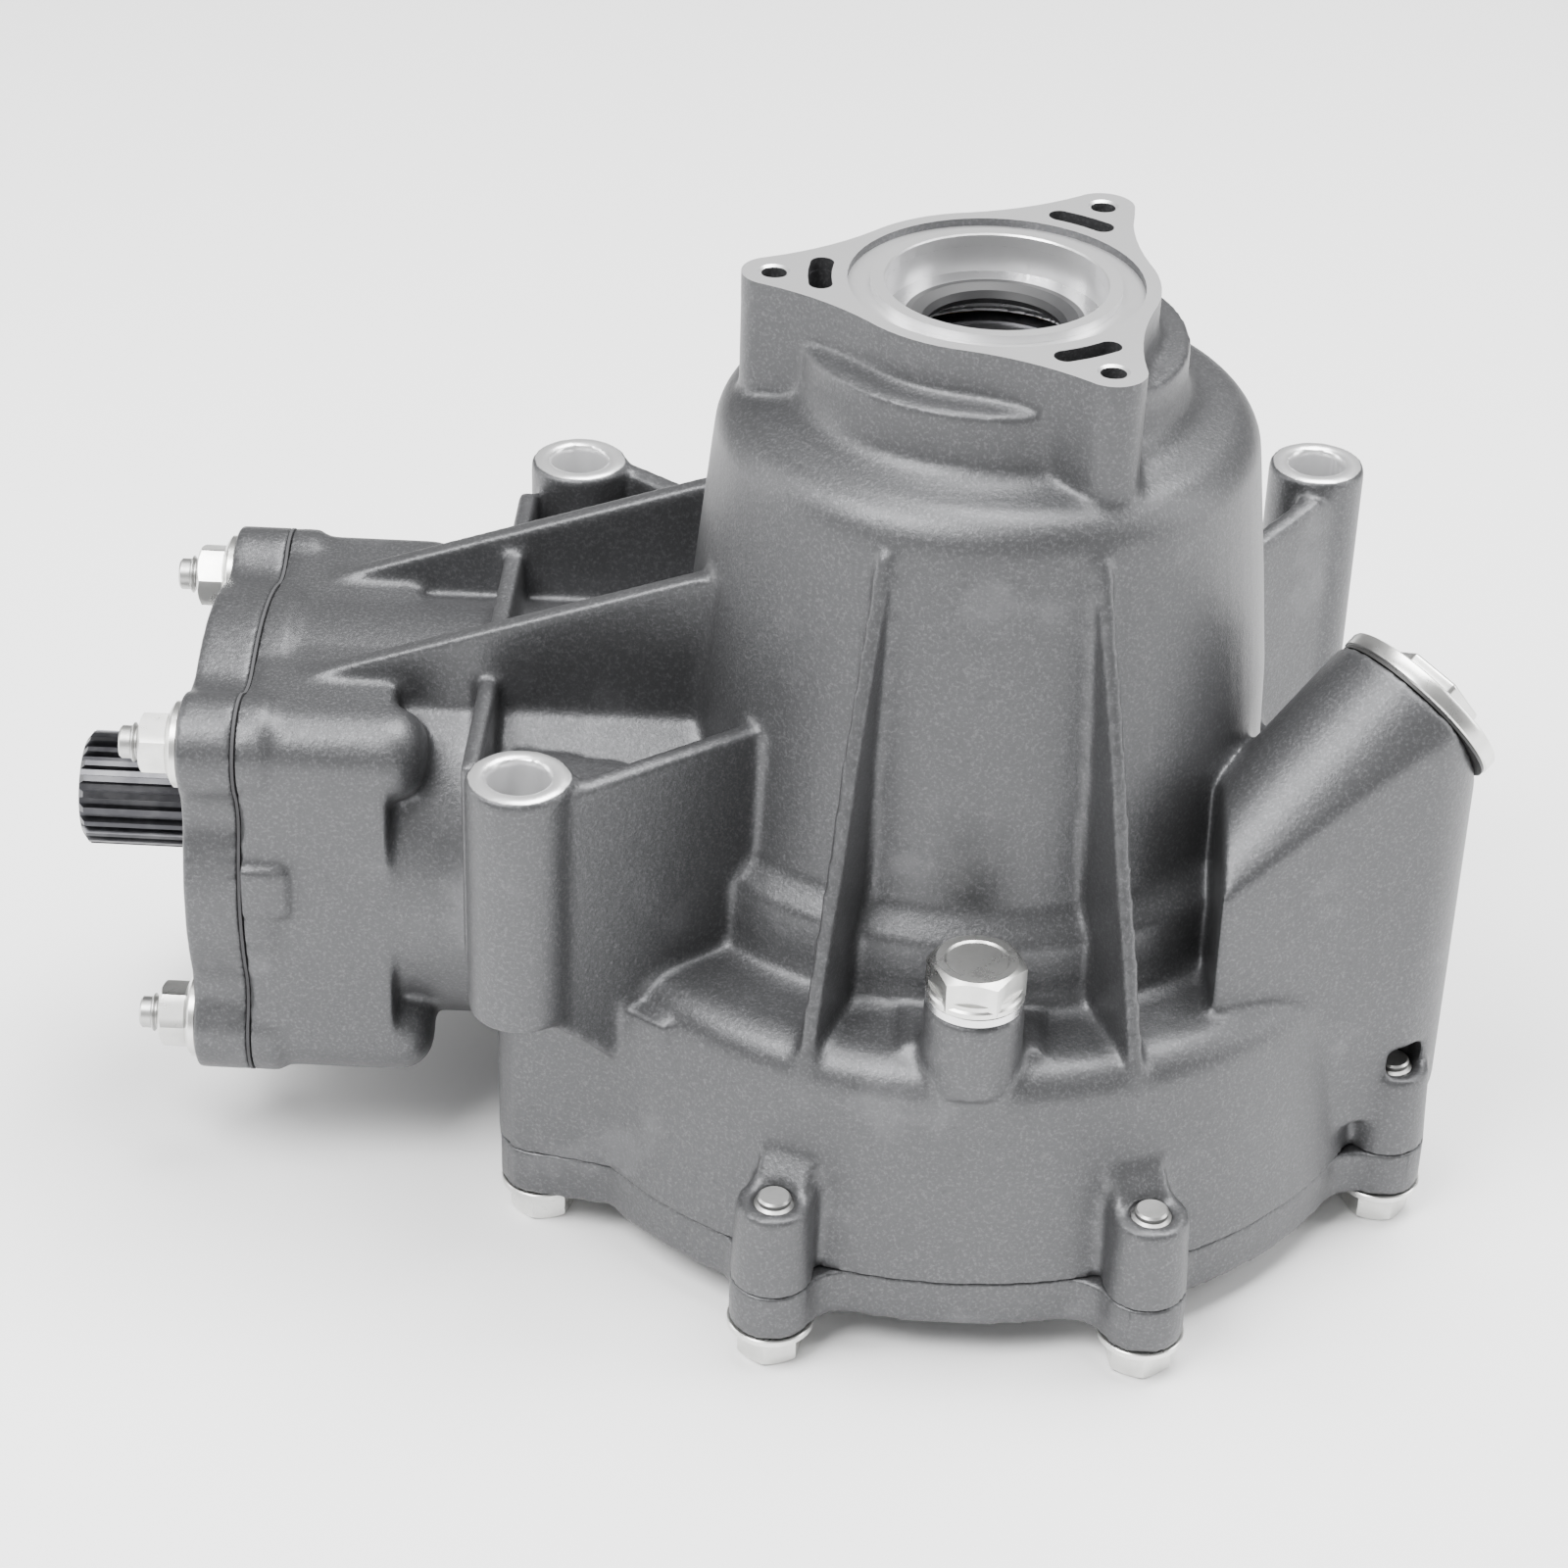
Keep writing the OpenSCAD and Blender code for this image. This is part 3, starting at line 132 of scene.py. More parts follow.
class Link:
    """A shader socket that can be used in Python expressions."""

    def __init__(self, finish: "Shader", socket: bpy.types.NodeSocket) -> None:
        """Keeps the socket.

        Args:
            finish: The shader that the socket is part of.
            socket: An output socket that carries a number.
        """
        self.finish = finish
        self.socket = socket

    def _math(self, operation: str, first: "Link | Number", second: "Link | Number") -> "Link":
        """Adds a Math node.

        Args:
            operation: The name of the operation.
            first: The first operand.
            second: The second operand.

        Returns:
            The result.
        """
        return self.finish.add("ShaderNodeMath", {"operation": operation}, {0: first, 1: second})

    def __add__(self, other: "Link | Number") -> "Link":
        """Sum."""
        return self._math("ADD", self, other)

    __radd__ = __add__

    def __sub__(self, other: "Link | Number") -> "Link":
        """Difference."""
        return self._math("SUBTRACT", self, other)

    def __rsub__(self, other: "Link | Number") -> "Link":
        """Difference with the value on the right."""
        return self._math("SUBTRACT", other, self)

    def __mul__(self, other: "Link | Number") -> "Link":
        """Product."""
        return self._math("MULTIPLY", self, other)

    __rmul__ = __mul__

    def __pow__(self, other: Number) -> "Link":
        """Power."""
        return self._math("POWER", self, other)

    def over(self, edge: Number, width: Number) -> "Link":
        """Soft step.

        Args:
            edge: Where the step is half way up.
            width: How wide the step is.

        Returns:
            0 well below the edge and 1 well above it.
        """
        return self.finish.add("ShaderNodeMapRange", {"interpolation_type": "SMOOTHSTEP"},
                               {0: self, 1: edge - width / 2, 2: edge + width / 2})


class Shader:
    """One material and the nodes in it."""

    def __init__(self, name: str) -> None:
        """Makes an empty node material.

        Args:
            name: The name of the material.
        """
        self.material = bpy.data.materials.new(name)
        self.material.use_nodes = True
        self.tree = self.material.node_tree
        self.tree.nodes.clear()
        self.surface = self.tree.nodes.new("ShaderNodeBsdfPrincipled")
        output = self.tree.nodes.new("ShaderNodeOutputMaterial")
        self.tree.links.new(self.surface.outputs[0], output.inputs[0])
        self.place = self.add("ShaderNodeTexCoord", {}, {}, "Object")

    def add(self, kind: str, settings: dict, inputs: dict, output: str | int = 0) -> Link:
        """Adds any node.

        Args:
            kind: The type of the node.
            settings: Properties of the node, or its colour ramp's stops under "stops".
            inputs: Values or links of its sockets, by name or number.
            output: The output socket that is wanted.

        Returns:
            The wanted output.
        """
        node = self.tree.nodes.new(kind)
        for key, value in settings.items():
            if key == "stops":
                ramp = node.color_ramp
                while len(ramp.elements) < len(value):
                    ramp.elements.new(0.5)
                for element, (at, shade) in zip(ramp.elements, value):
                    element.position = at
                    element.color = (*shade, 1.0)
            else:
                setattr(node, key, value)
        for key, value in inputs.items():
            if isinstance(value, Link):
                self.tree.links.new(value.socket, node.inputs[key])
            else:
                node.inputs[key].default_value = value
        return Link(self, node.outputs[output])

    def noise(self, scale: Number, detail: Number = 3.0, roughness: Number = 0.55,
              stretch: Sequence[float] | None = None) -> Link:
        """Noise on Object coordinates.

        Args:
            scale: Features per metre.
            detail: Octaves of the noise.
            roughness: How strong the finer octaves are.
            stretch: Scale along each axis, for brushed or streaked noise.

        Returns:
            The noise, from about 0 to 1.
        """
        at = self.place
        if stretch is not None:
            at = self.add("ShaderNodeMapping", {}, {"Vector": at, "Scale": stretch})
        return self.add("ShaderNodeTexNoise", {},
                        {"Vector": at, "Scale": scale, "Detail": detail, "Roughness": roughness})

    def mix(self, factor: Link | Number, first: Link | Colour, second: Link | Colour) -> Link:
        """Mixes two colours.

        Args:
            factor: The share of the second colour.
            first: The colour at 0.
            second: The colour at 1.

        Returns:
            The mixed colour.
        """
        ends = [shade if isinstance(shade, Link) else (*shade, 1.0) for shade in (first, second)]
        return self.add("ShaderNodeMix", {"data_type": "RGBA"}, {0: factor, 6: ends[0], 7: ends[1]}, 2)

    def part(self, axis: str) -> Link:
        """One of the Object coordinates.

        Args:
            axis: X, Y or Z.

        Returns:
            The coordinate in metres.
        """
        return self.add("ShaderNodeSeparateXYZ", {}, {"Vector": self.place}, axis)

    def bump(self, height: Link, depth: Number) -> None:
        """Feeds a height to the surface's normal.

        Args:
            height: The height field, from 0 to 1.
            depth: The depth that 1 stands for, in metres.
        """
        normal = self.add("ShaderNodeBump", {}, {"Height": height, "Distance": depth, "Strength": 1.0})
        self.tree.links.new(normal.socket, self.surface.inputs["Normal"])

    def feed(self, **sockets: Link | Number | Colour) -> None:
        """Sets or links sockets of the surface.

        Args:
            sockets: Values by the socket's name with underscores for spaces.
        """
        for key, value in sockets.items():
            socket = self.surface.inputs[key.replace("_", " ")]
            if isinstance(value, Link):
                self.tree.links.new(value.socket, socket)
            else:
                socket.default_value = (*value, 1.0) if isinstance(value, tuple) else value


# Finishes


@dataclass(frozen=True)
class CastAlloy:
    """Sand-blasted aluminium casting.

    Attributes:
        flecks: Share of the light metal in the grain.
        pitting: Share of the dark metal in the pits.
        clouds: Share of the dark metal in the broad clouds.
        stains: Share of the light metal in the stains.
    """

    name: str = "cast_alloy"
    shade: Colour = (0.088, 0.089, 0.092)
    dark: Colour = (0.058, 0.058, 0.061)
    light: Colour = (0.22, 0.22, 0.23)
    grain_scale: float = 1500.0
    grain_depth: float = 0.00012
    cloud_scale: float = 16.0
    stain_scale: float = 38.0
    flecks: float = 0.36
    pitting: float = 0.4
    clouds: float = 0.35
    stains: float = 0.22
    metallic: float = 0.72
    roughness: float = 0.43
    bosses: Bosses = Bosses()
    faced: Colour = (0.86, 0.86, 0.865)

    def _faced(self, shader: Shader) -> Link:
        """Share of the surface that a cutter has faced.

        Args:
            shader: The material.

        Returns:
            1 on the tops of the bosses and 0 on raw metal.
        """
        x, y, height = (shader.part(axis) for axis in "XYZ")
        reach = self.bosses.radius + 0.0001
        near = [1 - (((x - bx) * (x - bx) + (y - by) * (y - by)) ** 0.5).over(reach, 0.0003)
                for bx, by in self.bosses.places]
        return (near[0] + near[1] + near[2]) * height.over(self.bosses.top - 0.0004, 0.0002)

    def build(self) -> bpy.types.Material:
        """Makes the material.

        Returns:
            The material.
        """
        shader = Shader(self.name)
        grain = shader.noise(self.grain_scale, 4.0, 0.7)
        pits = shader.noise(self.grain_scale * 0.45, 3.0, 0.6)
        cloud = shader.noise(self.cloud_scale, 4.0, 0.55)
        stain = shader.noise(self.stain_scale, 5.0, 0.62).over(0.64, 0.14)
        colour = shader.mix(cloud.over(0.5, 0.5) * self.clouds, self.shade, self.dark)
        colour = shader.mix(grain.over(0.58, 0.22) * self.flecks, colour, self.light)
        colour = shader.mix(pits.over(0.66, 0.1) * self.pitting, colour, self.dark)
        colour = shader.mix(stain * self.stains, colour, self.light)
        faced = self._faced(shader)
        shader.feed(Base_Color=shader.mix(faced, colour, self.faced), Metallic=self.metallic + 0.13 * faced,
                    Roughness=self.roughness - 0.13 * faced + 0.12 * (grain - 0.5))
        shader.bump((grain * 0.6 + pits * 0.7) * (1 - 0.85 * faced), self.grain_depth)
        return shader.material


@dataclass(frozen=True)
class Machined:
    """Faced or turned aluminium, bright with fine tool marks."""

    name: str = "machined_alloy"
    shade: Colour = (0.88, 0.88, 0.885)
    dull: Colour = (0.6, 0.6, 0.61)
    mark_scale: float = 900.0
    mark_depth: float = 0.00001
    roughness: float = 0.3

    def build(self) -> bpy.types.Material:
        """Makes the material.

        Returns:
            The material.
        """
        shader = Shader(self.name)
        marks = shader.noise(self.mark_scale, 2.0, 0.5, (1.0, 1.0, 6.0))
        cloud = shader.noise(70.0, 3.0, 0.5)
        colour = shader.mix(cloud.over(0.55, 0.5) * 0.35, self.shade, self.dull)
        shader.feed(Base_Color=colour, Metallic=0.85, Roughness=self.roughness + 0.12 * (cloud - 0.5))
        shader.bump(marks, self.mark_depth)
        return shader.material


@dataclass(frozen=True)
class Plated:
    """Plated or plain steel with a little wear."""

    name: str
    shade: Colour
    worn: Colour
    roughness: float
    metallic: float = 1.0
    mark_depth: float = 0.00001

    def build(self) -> bpy.types.Material:
        """Makes the material.

        Returns:
            The material.
        """
        shader = Shader(self.name)
        cloud = shader.noise(120.0, 4.0, 0.6)
        specks = shader.noise(700.0, 3.0, 0.6)
        colour = shader.mix(cloud.over(0.56, 0.3) * 0.6, self.shade, self.worn)
        shader.feed(Base_Color=colour, Metallic=self.metallic,
                    Roughness=self.roughness + 0.15 * (cloud - 0.5) + 0.06 * specks)
        shader.bump(specks, self.mark_depth)
        return shader.material


@dataclass(frozen=True)
class Soft:
    """Moulded rubber or fibre sheet."""

    name: str
    shade: Colour
    roughness: float = 0.65
    grain_depth: float = 0.00003

    def build(self) -> bpy.types.Material:
        """Makes the material.

        Returns:
            The material.
        """
        shader = Shader(self.name)
        cloud = shader.noise(300.0, 3.0, 0.6)
        colour = shader.mix(cloud, self.shade, tuple(1.6 * c + 0.01 for c in self.shade))
        shader.feed(Base_Color=colour, Roughness=self.roughness + 0.2 * (cloud - 0.5))
        shader.bump(cloud, self.grain_depth)
        return shader.material


@dataclass(frozen=True)
class OilSeal:
    """Oil seal with a bright steel shell outside and a black rubber lip inside.

    Attributes:
        name: The name of the material.
        along: The two axes that the seal is round in.
        drop: Height of the seal's axis, in metres.
        shell_r: Radius where the rubber ends.
    """

    name: str
    along: tuple[str, str] = ("X", "Y")
    drop: float = 0.0
    shell_r: float = 0.0178
    shell: Colour = (0.5, 0.5, 0.51)
    lip: Colour = (0.014, 0.014, 0.015)

    def build(self) -> bpy.types.Material:
        """Makes the material.

        Returns:
            The material.
        """
        shader = Shader(self.name)
        first, second = shader.part(self.along[0]), shader.part(self.along[1]) - self.drop
        steel = ((first * first + second * second) ** 0.5).over(self.shell_r, 0.0003)
        cloud = shader.noise(220.0, 3.0, 0.6)
        shader.feed(Base_Color=shader.mix(steel, self.lip, self.shell), Metallic=steel,
                    Roughness=0.52 - 0.24 * steel + 0.1 * (cloud - 0.5))
        return shader.material


@dataclass(frozen=True)
class Floor:
    """Plain pale floor."""

    name: str = "studio_floor"
    shade: Colour = (0.95, 0.95, 0.95)
    worn: Colour = (0.9, 0.9, 0.9)

    def build(self) -> bpy.types.Material:
        """Makes the material.

        Returns:
            The material.
        """
        shader = Shader(self.name)
        cloud = shader.noise(3.0, 2.0, 0.5)
        shader.feed(Base_Color=shader.mix(cloud * 0.04, self.shade, self.worn), Roughness=0.8)
        return shader.material


class Finishes:
    """All the materials of the scene, made once."""

    def __init__(self) -> None:
        """Builds every finish."""
        self.cast = CastAlloy().build()
        self.machined = Machined().build()
        self.zinc = Plated("zinc_plate", (0.74, 0.74, 0.72), (0.55, 0.55, 0.53), 0.26).build()
        self.thread = Plated("rolled_thread", (0.5, 0.5, 0.49), (0.3, 0.3, 0.29), 0.35).build()
        self.spline = Plated("blackened_spline", (0.055, 0.055, 0.06), (0.12, 0.12, 0.125), 0.3).build()
        self.steel = Plated("ground_steel", (0.56, 0.56, 0.58), (0.4, 0.4, 0.42), 0.28).build()
        self.iron = Plated("case_iron", (0.2, 0.2, 0.205), (0.12, 0.12, 0.12), 0.5).build()
        self.bronze = Plated("bearing_bronze", (0.56, 0.36, 0.16), (0.4, 0.25, 0.1), 0.35).build()
        self.washer = Plated("soft_washer", (0.8, 0.8, 0.81), (0.65, 0.65, 0.66), 0.22).build()
        self.output_seal = OilSeal("output_oil_seal").build()
        self.input_seal = OilSeal("input_oil_seal", ("Y", "Z"), -0.126, 0.0205).build()
        self.rubber = Soft("oil_rubber", (0.012, 0.012, 0.012), 0.5).build()
        self.gasket = Soft("gasket_fibre", (0.03, 0.03, 0.032), 0.8).build()
        self.floor = Floor().build()


# Mesh tools


def linked(name: str, data: bpy.types.ID) -> bpy.types.Object:
    """Makes an object and puts it in the scene.

    Args:
        name: The name of the object.
        data: Its mesh, light or camera.

    Returns:
        The object.
    """
    piece = bpy.data.objects.new(name, data)
    bpy.context.scene.collection.objects.link(piece)
    return piece


def meshed(name: str, bm: bmesh.types.BMesh) -> bpy.types.Mesh:
    """Turns a bmesh into a mesh.

    Args:
        name: The name of the mesh.
        bm: The bmesh, which is freed.

    Returns:
        The mesh.
    """
    mesh = bpy.data.meshes.new(name)
    bm.to_mesh(mesh)
    bm.free()
    return mesh


def paint(piece: bpy.types.Object, *materials: bpy.types.Material) -> None:
    """Gives a piece its finishes in place of those that it had.

    Args:
        piece: The piece.
        materials: One finish for each slot.
    """
    piece.data.materials.clear()
    for material in materials:
        piece.data.materials.append(material)


def finished(name: str, bm: bmesh.types.BMesh, material: bpy.types.Material,
             angle: float = 35.0) -> bpy.types.Object:
    """Turns a bmesh into an object at the origin, smooth up to an angle.

    Args:
        name: The name of the object.
        bm: The mesh, which is freed.
        material: The finish of the piece.
        angle: Edges sharper than this stay sharp, in degrees.

    Returns:
        The object.
    """
    bmesh.ops.recalc_face_normals(bm, faces=bm.faces)
    for face in bm.faces:
        face.smooth = True
    limit = math.radians(angle)
    for edge in bm.edges:
        edge.smooth = len(edge.link_faces) == 2 and edge.calc_face_angle(0.0) < limit
    piece = linked(name, meshed(name, bm))
    paint(piece, material)
    return piece


def spun(bm: bmesh.types.BMesh, profile: Sequence[tuple[float, float]], steps: int = 64) -> None:
    """Adds a turned shape round +Z.

    Args:
        bm: The mesh that takes the shape.
        profile: Points of the outline as radius and height, in metres.
        steps: Number of steps round the turn.
    """
    points = [bm.verts.new((radius, 0.0, height)) for radius, height in profile]
    edges = [bm.edges.new(pair) for pair in zip(points, points[1:])]
    bmesh.ops.spin(bm, geom=points + edges, cent=(0, 0, 0), axis=(0, 0, 1), angle=2 * math.pi, steps=steps,
                   use_merge=True)
    bmesh.ops.remove_doubles(bm, verts=bm.verts, dist=1e-6)


def ringed(bm: bmesh.types.BMesh, rings: Sequence[Sequence[tuple[float, float, float]]],
           closed: bool) -> None:
    """Adds a skin between rings of points.

    Args:
        bm: The mesh that takes the shape.
        rings: The rings in order, all of the same length.
        closed: True to join the last ring to the first, False to fill both ends.
    """
    rows = [[bm.verts.new(point) for point in ring] for ring in rings]
    count = len(rows[0])
    for low, high in zip(rows, rows[1:] + rows[:1] if closed else rows[1:]):
        for i in range(count):
            bm.faces.new((low[i], low[(i + 1) % count], high[(i + 1) % count], high[i]))
    if not closed:
        bm.faces.new(rows[0][::-1])
        bm.faces.new(rows[-1])


def joined(name: str, pieces: Sequence[bpy.types.Object]) -> bpy.types.Object:
    """Joins objects into one, keeping their materials.

    Args:
        name: The name of the result.
        pieces: The objects, which are removed.

    Returns:
        The joined object.
    """
    bm = bmesh.new()
    materials: list[bpy.types.Material] = []
    for piece in pieces:
        slots = []
        for material in piece.data.materials:
            if material not in materials:
                materials.append(material)
            slots.append(materials.index(material))
        start = len(bm.faces)
        bm.from_mesh(piece.data)
        bm.faces.ensure_lookup_table()
        for face in bm.faces[start:]:
            face.material_index = slots[face.material_index]
    mesh = meshed(name, bm)
    for material in materials:
        mesh.materials.append(material)
    for piece in pieces:
        bpy.data.objects.remove(piece)
    return linked(name, mesh)


def placed(piece: bpy.types.Object, matrices: Sequence[Matrix], name: str) -> bpy.types.Object:
    """Copies a piece to several places inside one mesh.

    Args:
        piece: The piece, modelled at the origin, which is removed.
        matrices: The places.
        name: The name of the result.

    Returns:
        One object with a copy at each place.
    """
    copies = []
    for matrix in matrices:
        copy = piece.copy()
        copy.data = piece.data.copy()
        copy.data.transform(matrix)
        bpy.context.scene.collection.objects.link(copy)
        copies.append(copy)
    bpy.data.objects.remove(piece)
    return joined(name, copies)


class Work(Enum):
    """What a tool does to a solid."""

    CUT = "DIFFERENCE"
    FILL = "UNION"


@dataclass
class CastSkin:
    """Turns the sharp solid of a casting into a skin with the soft fillets of a mould.

    Attributes:
        voxel: Size of the cells that the solid is rebuilt on.
        passes: Number of smoothing passes.
        crisp: Share of the smoothing that outer edges get, beside the full share of hollow corners.
        triangles: Largest number of triangles of the skin.
    """

    voxel: float = 0.00085
    passes: int = 12
    crisp: float = 0.6
    triangles: int = 190000
    quick_cells: float = 1.6

    def _apply(self, piece: bpy.types.Object, name: str) -> None:
        """Applies the modifiers of a piece.

        Args:
            piece: The piece with modifiers.
            name: The name of its new mesh.
        """
        graph = bpy.context.evaluated_depsgraph_get()
        mesh = bpy.data.meshes.new_from_object(piece.evaluated_get(graph))
        mesh.name = name
        piece.data = mesh
        piece.modifiers.clear()

    def _soften(self, mesh: bpy.types.Mesh, soft: Callable[[np.ndarray], np.ndarray]) -> None:
        """Fills hollow corners and rounds outer edges a little.

        Args:
            mesh: The rebuilt mesh.
            soft: Gives, for points in metres, 1 where the casting is raw and 0 where it is machined.
        """
        count = len(mesh.vertices)
        flat = np.empty(count * 3)
        mesh.vertices.foreach_get("co", flat)
        points = flat.reshape(-1, 3)
        pairs = np.empty(len(mesh.edges) * 2, dtype=np.int64)
        mesh.edges.foreach_get("vertices", pairs)
        one, other = pairs.reshape(-1, 2).T
        around = np.bincount(pairs, minlength=count).clip(1)
        weights = soft(points)
        normals = np.empty(count * 3)
        for _ in range(self.passes):
            mesh.vertex_normals.foreach_get("vector", normals)
            total = np.stack([np.bincount(one, points[other, k], count)
                              + np.bincount(other, points[one, k], count) for k in range(3)], axis=1)
            step = total / around[:, None] - points
            inward = (step * normals.reshape(-1, 3)).sum(axis=1) < 0
            points = points + step * (0.5 * weights * np.where(inward, self.crisp, 1.0))[:, None]
            mesh.vertices.foreach_set("co", points.ravel())
            mesh.update()

    def build(self, source: bpy.types.Object, name: str, soft: Callable[[np.ndarray], np.ndarray],
              clean: Callable[[bmesh.types.BMesh], None] | None = None,
              tools: Sequence[tuple[Work, bpy.types.Object]] = ()) -> bpy.types.Object:
        """Makes the skin of one casting.

        Args:
            source: The CAD node.
            name: The name of the new piece.
            soft: Gives, for points in metres, 1 where the casting is raw and 0 where it is machined.
            clean: Puts the merged copy of the solid right before it is rebuilt on cells.
            tools: What is cut out of the solid or filled in, in order. The tools are removed.

        Returns:
            The skin, with no material yet.
        """
        bm = bmesh.new()
        bm.from_mesh(source.data)
        bmesh.ops.remove_doubles(bm, verts=bm.verts, dist=1e-6)
        if clean:
            clean(bm)
        piece = linked(name, meshed(name, bm))
        for work, tool in tools:
            step = piece.modifiers.new(tool.name, "BOOLEAN")
            step.operation = work.value
            step.solver = "EXACT"
            step.object = tool
            self._apply(piece, name)
            bpy.data.objects.remove(tool)
        remesh = piece.modifiers.new("cells", "REMESH")
        remesh.mode = "VOXEL"
        remesh.voxel_size = self.voxel * 1.0
        self._apply(piece, name)
        self._soften(piece.data, soft)
        thin = piece.modifiers.new("thin", "DECIMATE")
        thin.ratio = min(1.0, self.triangles / (2 * len(piece.data.polygons)))
        self._apply(piece, name)
        for polygon in piece.data.polygons:
            polygon.use_smooth = True
        return piece


@dataclass
class MainHousing:
    """The big casting: cast skin below and the machined output flange on top."""

    seal_bore: float = 0.0216
    seal_bore_foot: float = -0.03
    flange_cut: float = -0.0026
    bosses: Bosses = Bosses()
    boss_depth: float = 0.055
    joint: float = -0.174
    input_face: float = -0.1452
    raw_top: float = -0.00468
    margin: float = 0.0006
    skin_angle: float = 35.0
    face_angle: float = 25.0
    breather: tuple[float, float] = (-0.081, 0.004)
    breather_r: float = 0.004
    breather_floor: float = -0.09
    breather_top: float = -0.07
    wall_low: tuple[float, float, float] = (0.04905, -0.042, -0.107)
    wall_high: tuple[float, float, float] = (0.0535, -0.0255, -0.0905)
    bell_patch: tuple[float, float, float] = (0.0045, 0.009, 0.0165)
    bell_patch_r: float = 0.0573
    bell_patch_z: float = -0.0983
    bell_patch_turn: float = -37.5
    bell_lean: float = -2.15
    scallop: tuple[float, float] = (0.0904358, -0.0356237)
    scallop_r: float = 0.0054
    scallop_floor: float = -0.1556
    scallop_top: float = -0.1499

    def _put_right(self, bm: bmesh.types.BMesh) -> None:
        """Clears the breather's bore, which is then cut again.

        Args:
            bm: The merged copy of the solid.
        """
        at = Vector(self.breather)
        bore = [face for face in bm.faces
                if all((v.co.xy - at).length < self.breather_r + 0.0001
                       and v.co.z > self.breather_floor - 0.0005 for v in face.verts)]
        bmesh.ops.delete(bm, geom=bore, context="FACES")
        bmesh.ops.triangle_fill(bm, edges=[edge for edge in bm.edges if edge.is_boundary], use_beauty=True)

    def _tools(self) -> list[tuple[Work, bpy.types.Object]]:
        """Makes the fillings beside the filler neck and the cuts of the breather and of the bolt's scallop.

        Returns:
            What each tool does and the tool, in order.
        """
        low, high = Vector(self.wall_low), Vector(self.wall_high)
        wall = bmesh.new()
        bmesh.ops.create_cube(wall, size=1.0, matrix=Matrix.Translation((low + high) / 2)
                              @ Matrix.Diagonal((high - low).to_4d()))
        patch = bmesh.new()
        turn = Matrix.Rotation(math.radians(self.bell_patch_turn), 4, "Z")
        lean = Matrix.Rotation(math.radians(self.bell_lean), 4, "Y")
        bmesh.ops.create_cube(patch, size=1.0, matrix=turn
                              @ Matrix.Translation((self.bell_patch_r, 0.0, self.bell_patch_z))
                              @ lean @ Matrix.Diagonal(Vector(self.bell_patch).to_4d()))
        bores = bmesh.new()
        cuts = ((self.breather, self.breather_r, self.breather_floor - 0.0001, self.breather_top),
                (self.scallop, self.scallop_r, self.scallop_floor, self.scallop_top))
        for (x, y), radius, foot, top in cuts:
            bmesh.ops.create_cone(bores, cap_ends=True, segments=48, radius1=radius, radius2=radius,
                                  depth=top - foot, matrix=Matrix.Translation((x, y, (foot + top) / 2)))
        return [(work, linked(name, meshed(name, bm))) for work, name, bm in (
            (Work.FILL, "neck_wall", wall), (Work.FILL, "bell_wall", patch), (Work.CUT, "bores", bores))]

    def _raw(self, points: np.ndarray) -> np.ndarray:
        """Weights of the raw cast surface.

        Args:
            points: Points of the skin in metres.

        Returns:
            1 on raw surface and 0 on machined faces.
        """
        x, y, z = points.T
        weight = np.ones(len(points))
        weight[z > self.raw_top] = 0.0
        weight[np.hypot(x, y) < self.seal_bore + self.margin] = 0.0
        weight[z < self.joint + self.margin] = 0.0
        weight[x < self.input_face + self.margin] = 0.0
        for bx, by in self.bosses.places:
            near = np.hypot(x - bx, y - by) < self.bosses.radius * self.bosses.crisp
            weight[near & (z > self.bosses.top - self.boss_depth)] = 0.0
        return weight

    def build(self, source: bpy.types.Object, finishes: Finishes) -> bpy.types.Object:
        """Makes the housing from its cast skin and its machined flange face.

        Args:
            source: The CAD node of the housing.
            finishes: The materials.

        Returns:
            The whole housing.
        """
        body = CastSkin().build(source, "cast_housing", self._raw, self._put_right, self._tools())
        self._cut(body, keep_below=True)
        paint(body, finishes.cast, finishes.machined)
        for polygon in body.data.polygons:
            polygon.material_index = int(self._is_machined(polygon.center))
        face = linked("output_flange_face", source.data.copy())
        self._cut(face, keep_below=False)
        paint(face, finishes.cast, finishes.machined)
        for polygon in face.data.polygons:
            c, n = polygon.center, polygon.normal
            polygon.material_index = int(n.z > 0.3 or math.hypot(c.x, c.y) < self.seal_bore + 0.003)
        return joined("gearcase_casting", [body, face])

    def _is_machined(self, c: Vector) -> bool:
        """Tells whether a face of the skin is machined.

        Args:
            c: The middle of the face.

        Returns:
            True in the seal's bore and in the bores of the bosses.
        """
        if math.hypot(c.x, c.y) < self.seal_bore + 0.0008 and c.z > self.seal_bore_foot:
            return True
        drilled = self.bosses.radius * self.bosses.bore
        return any(math.hypot(c.x - bx, c.y - by) < drilled and c.z < self.bosses.top + 0.001
                   for bx, by in self.bosses.places)

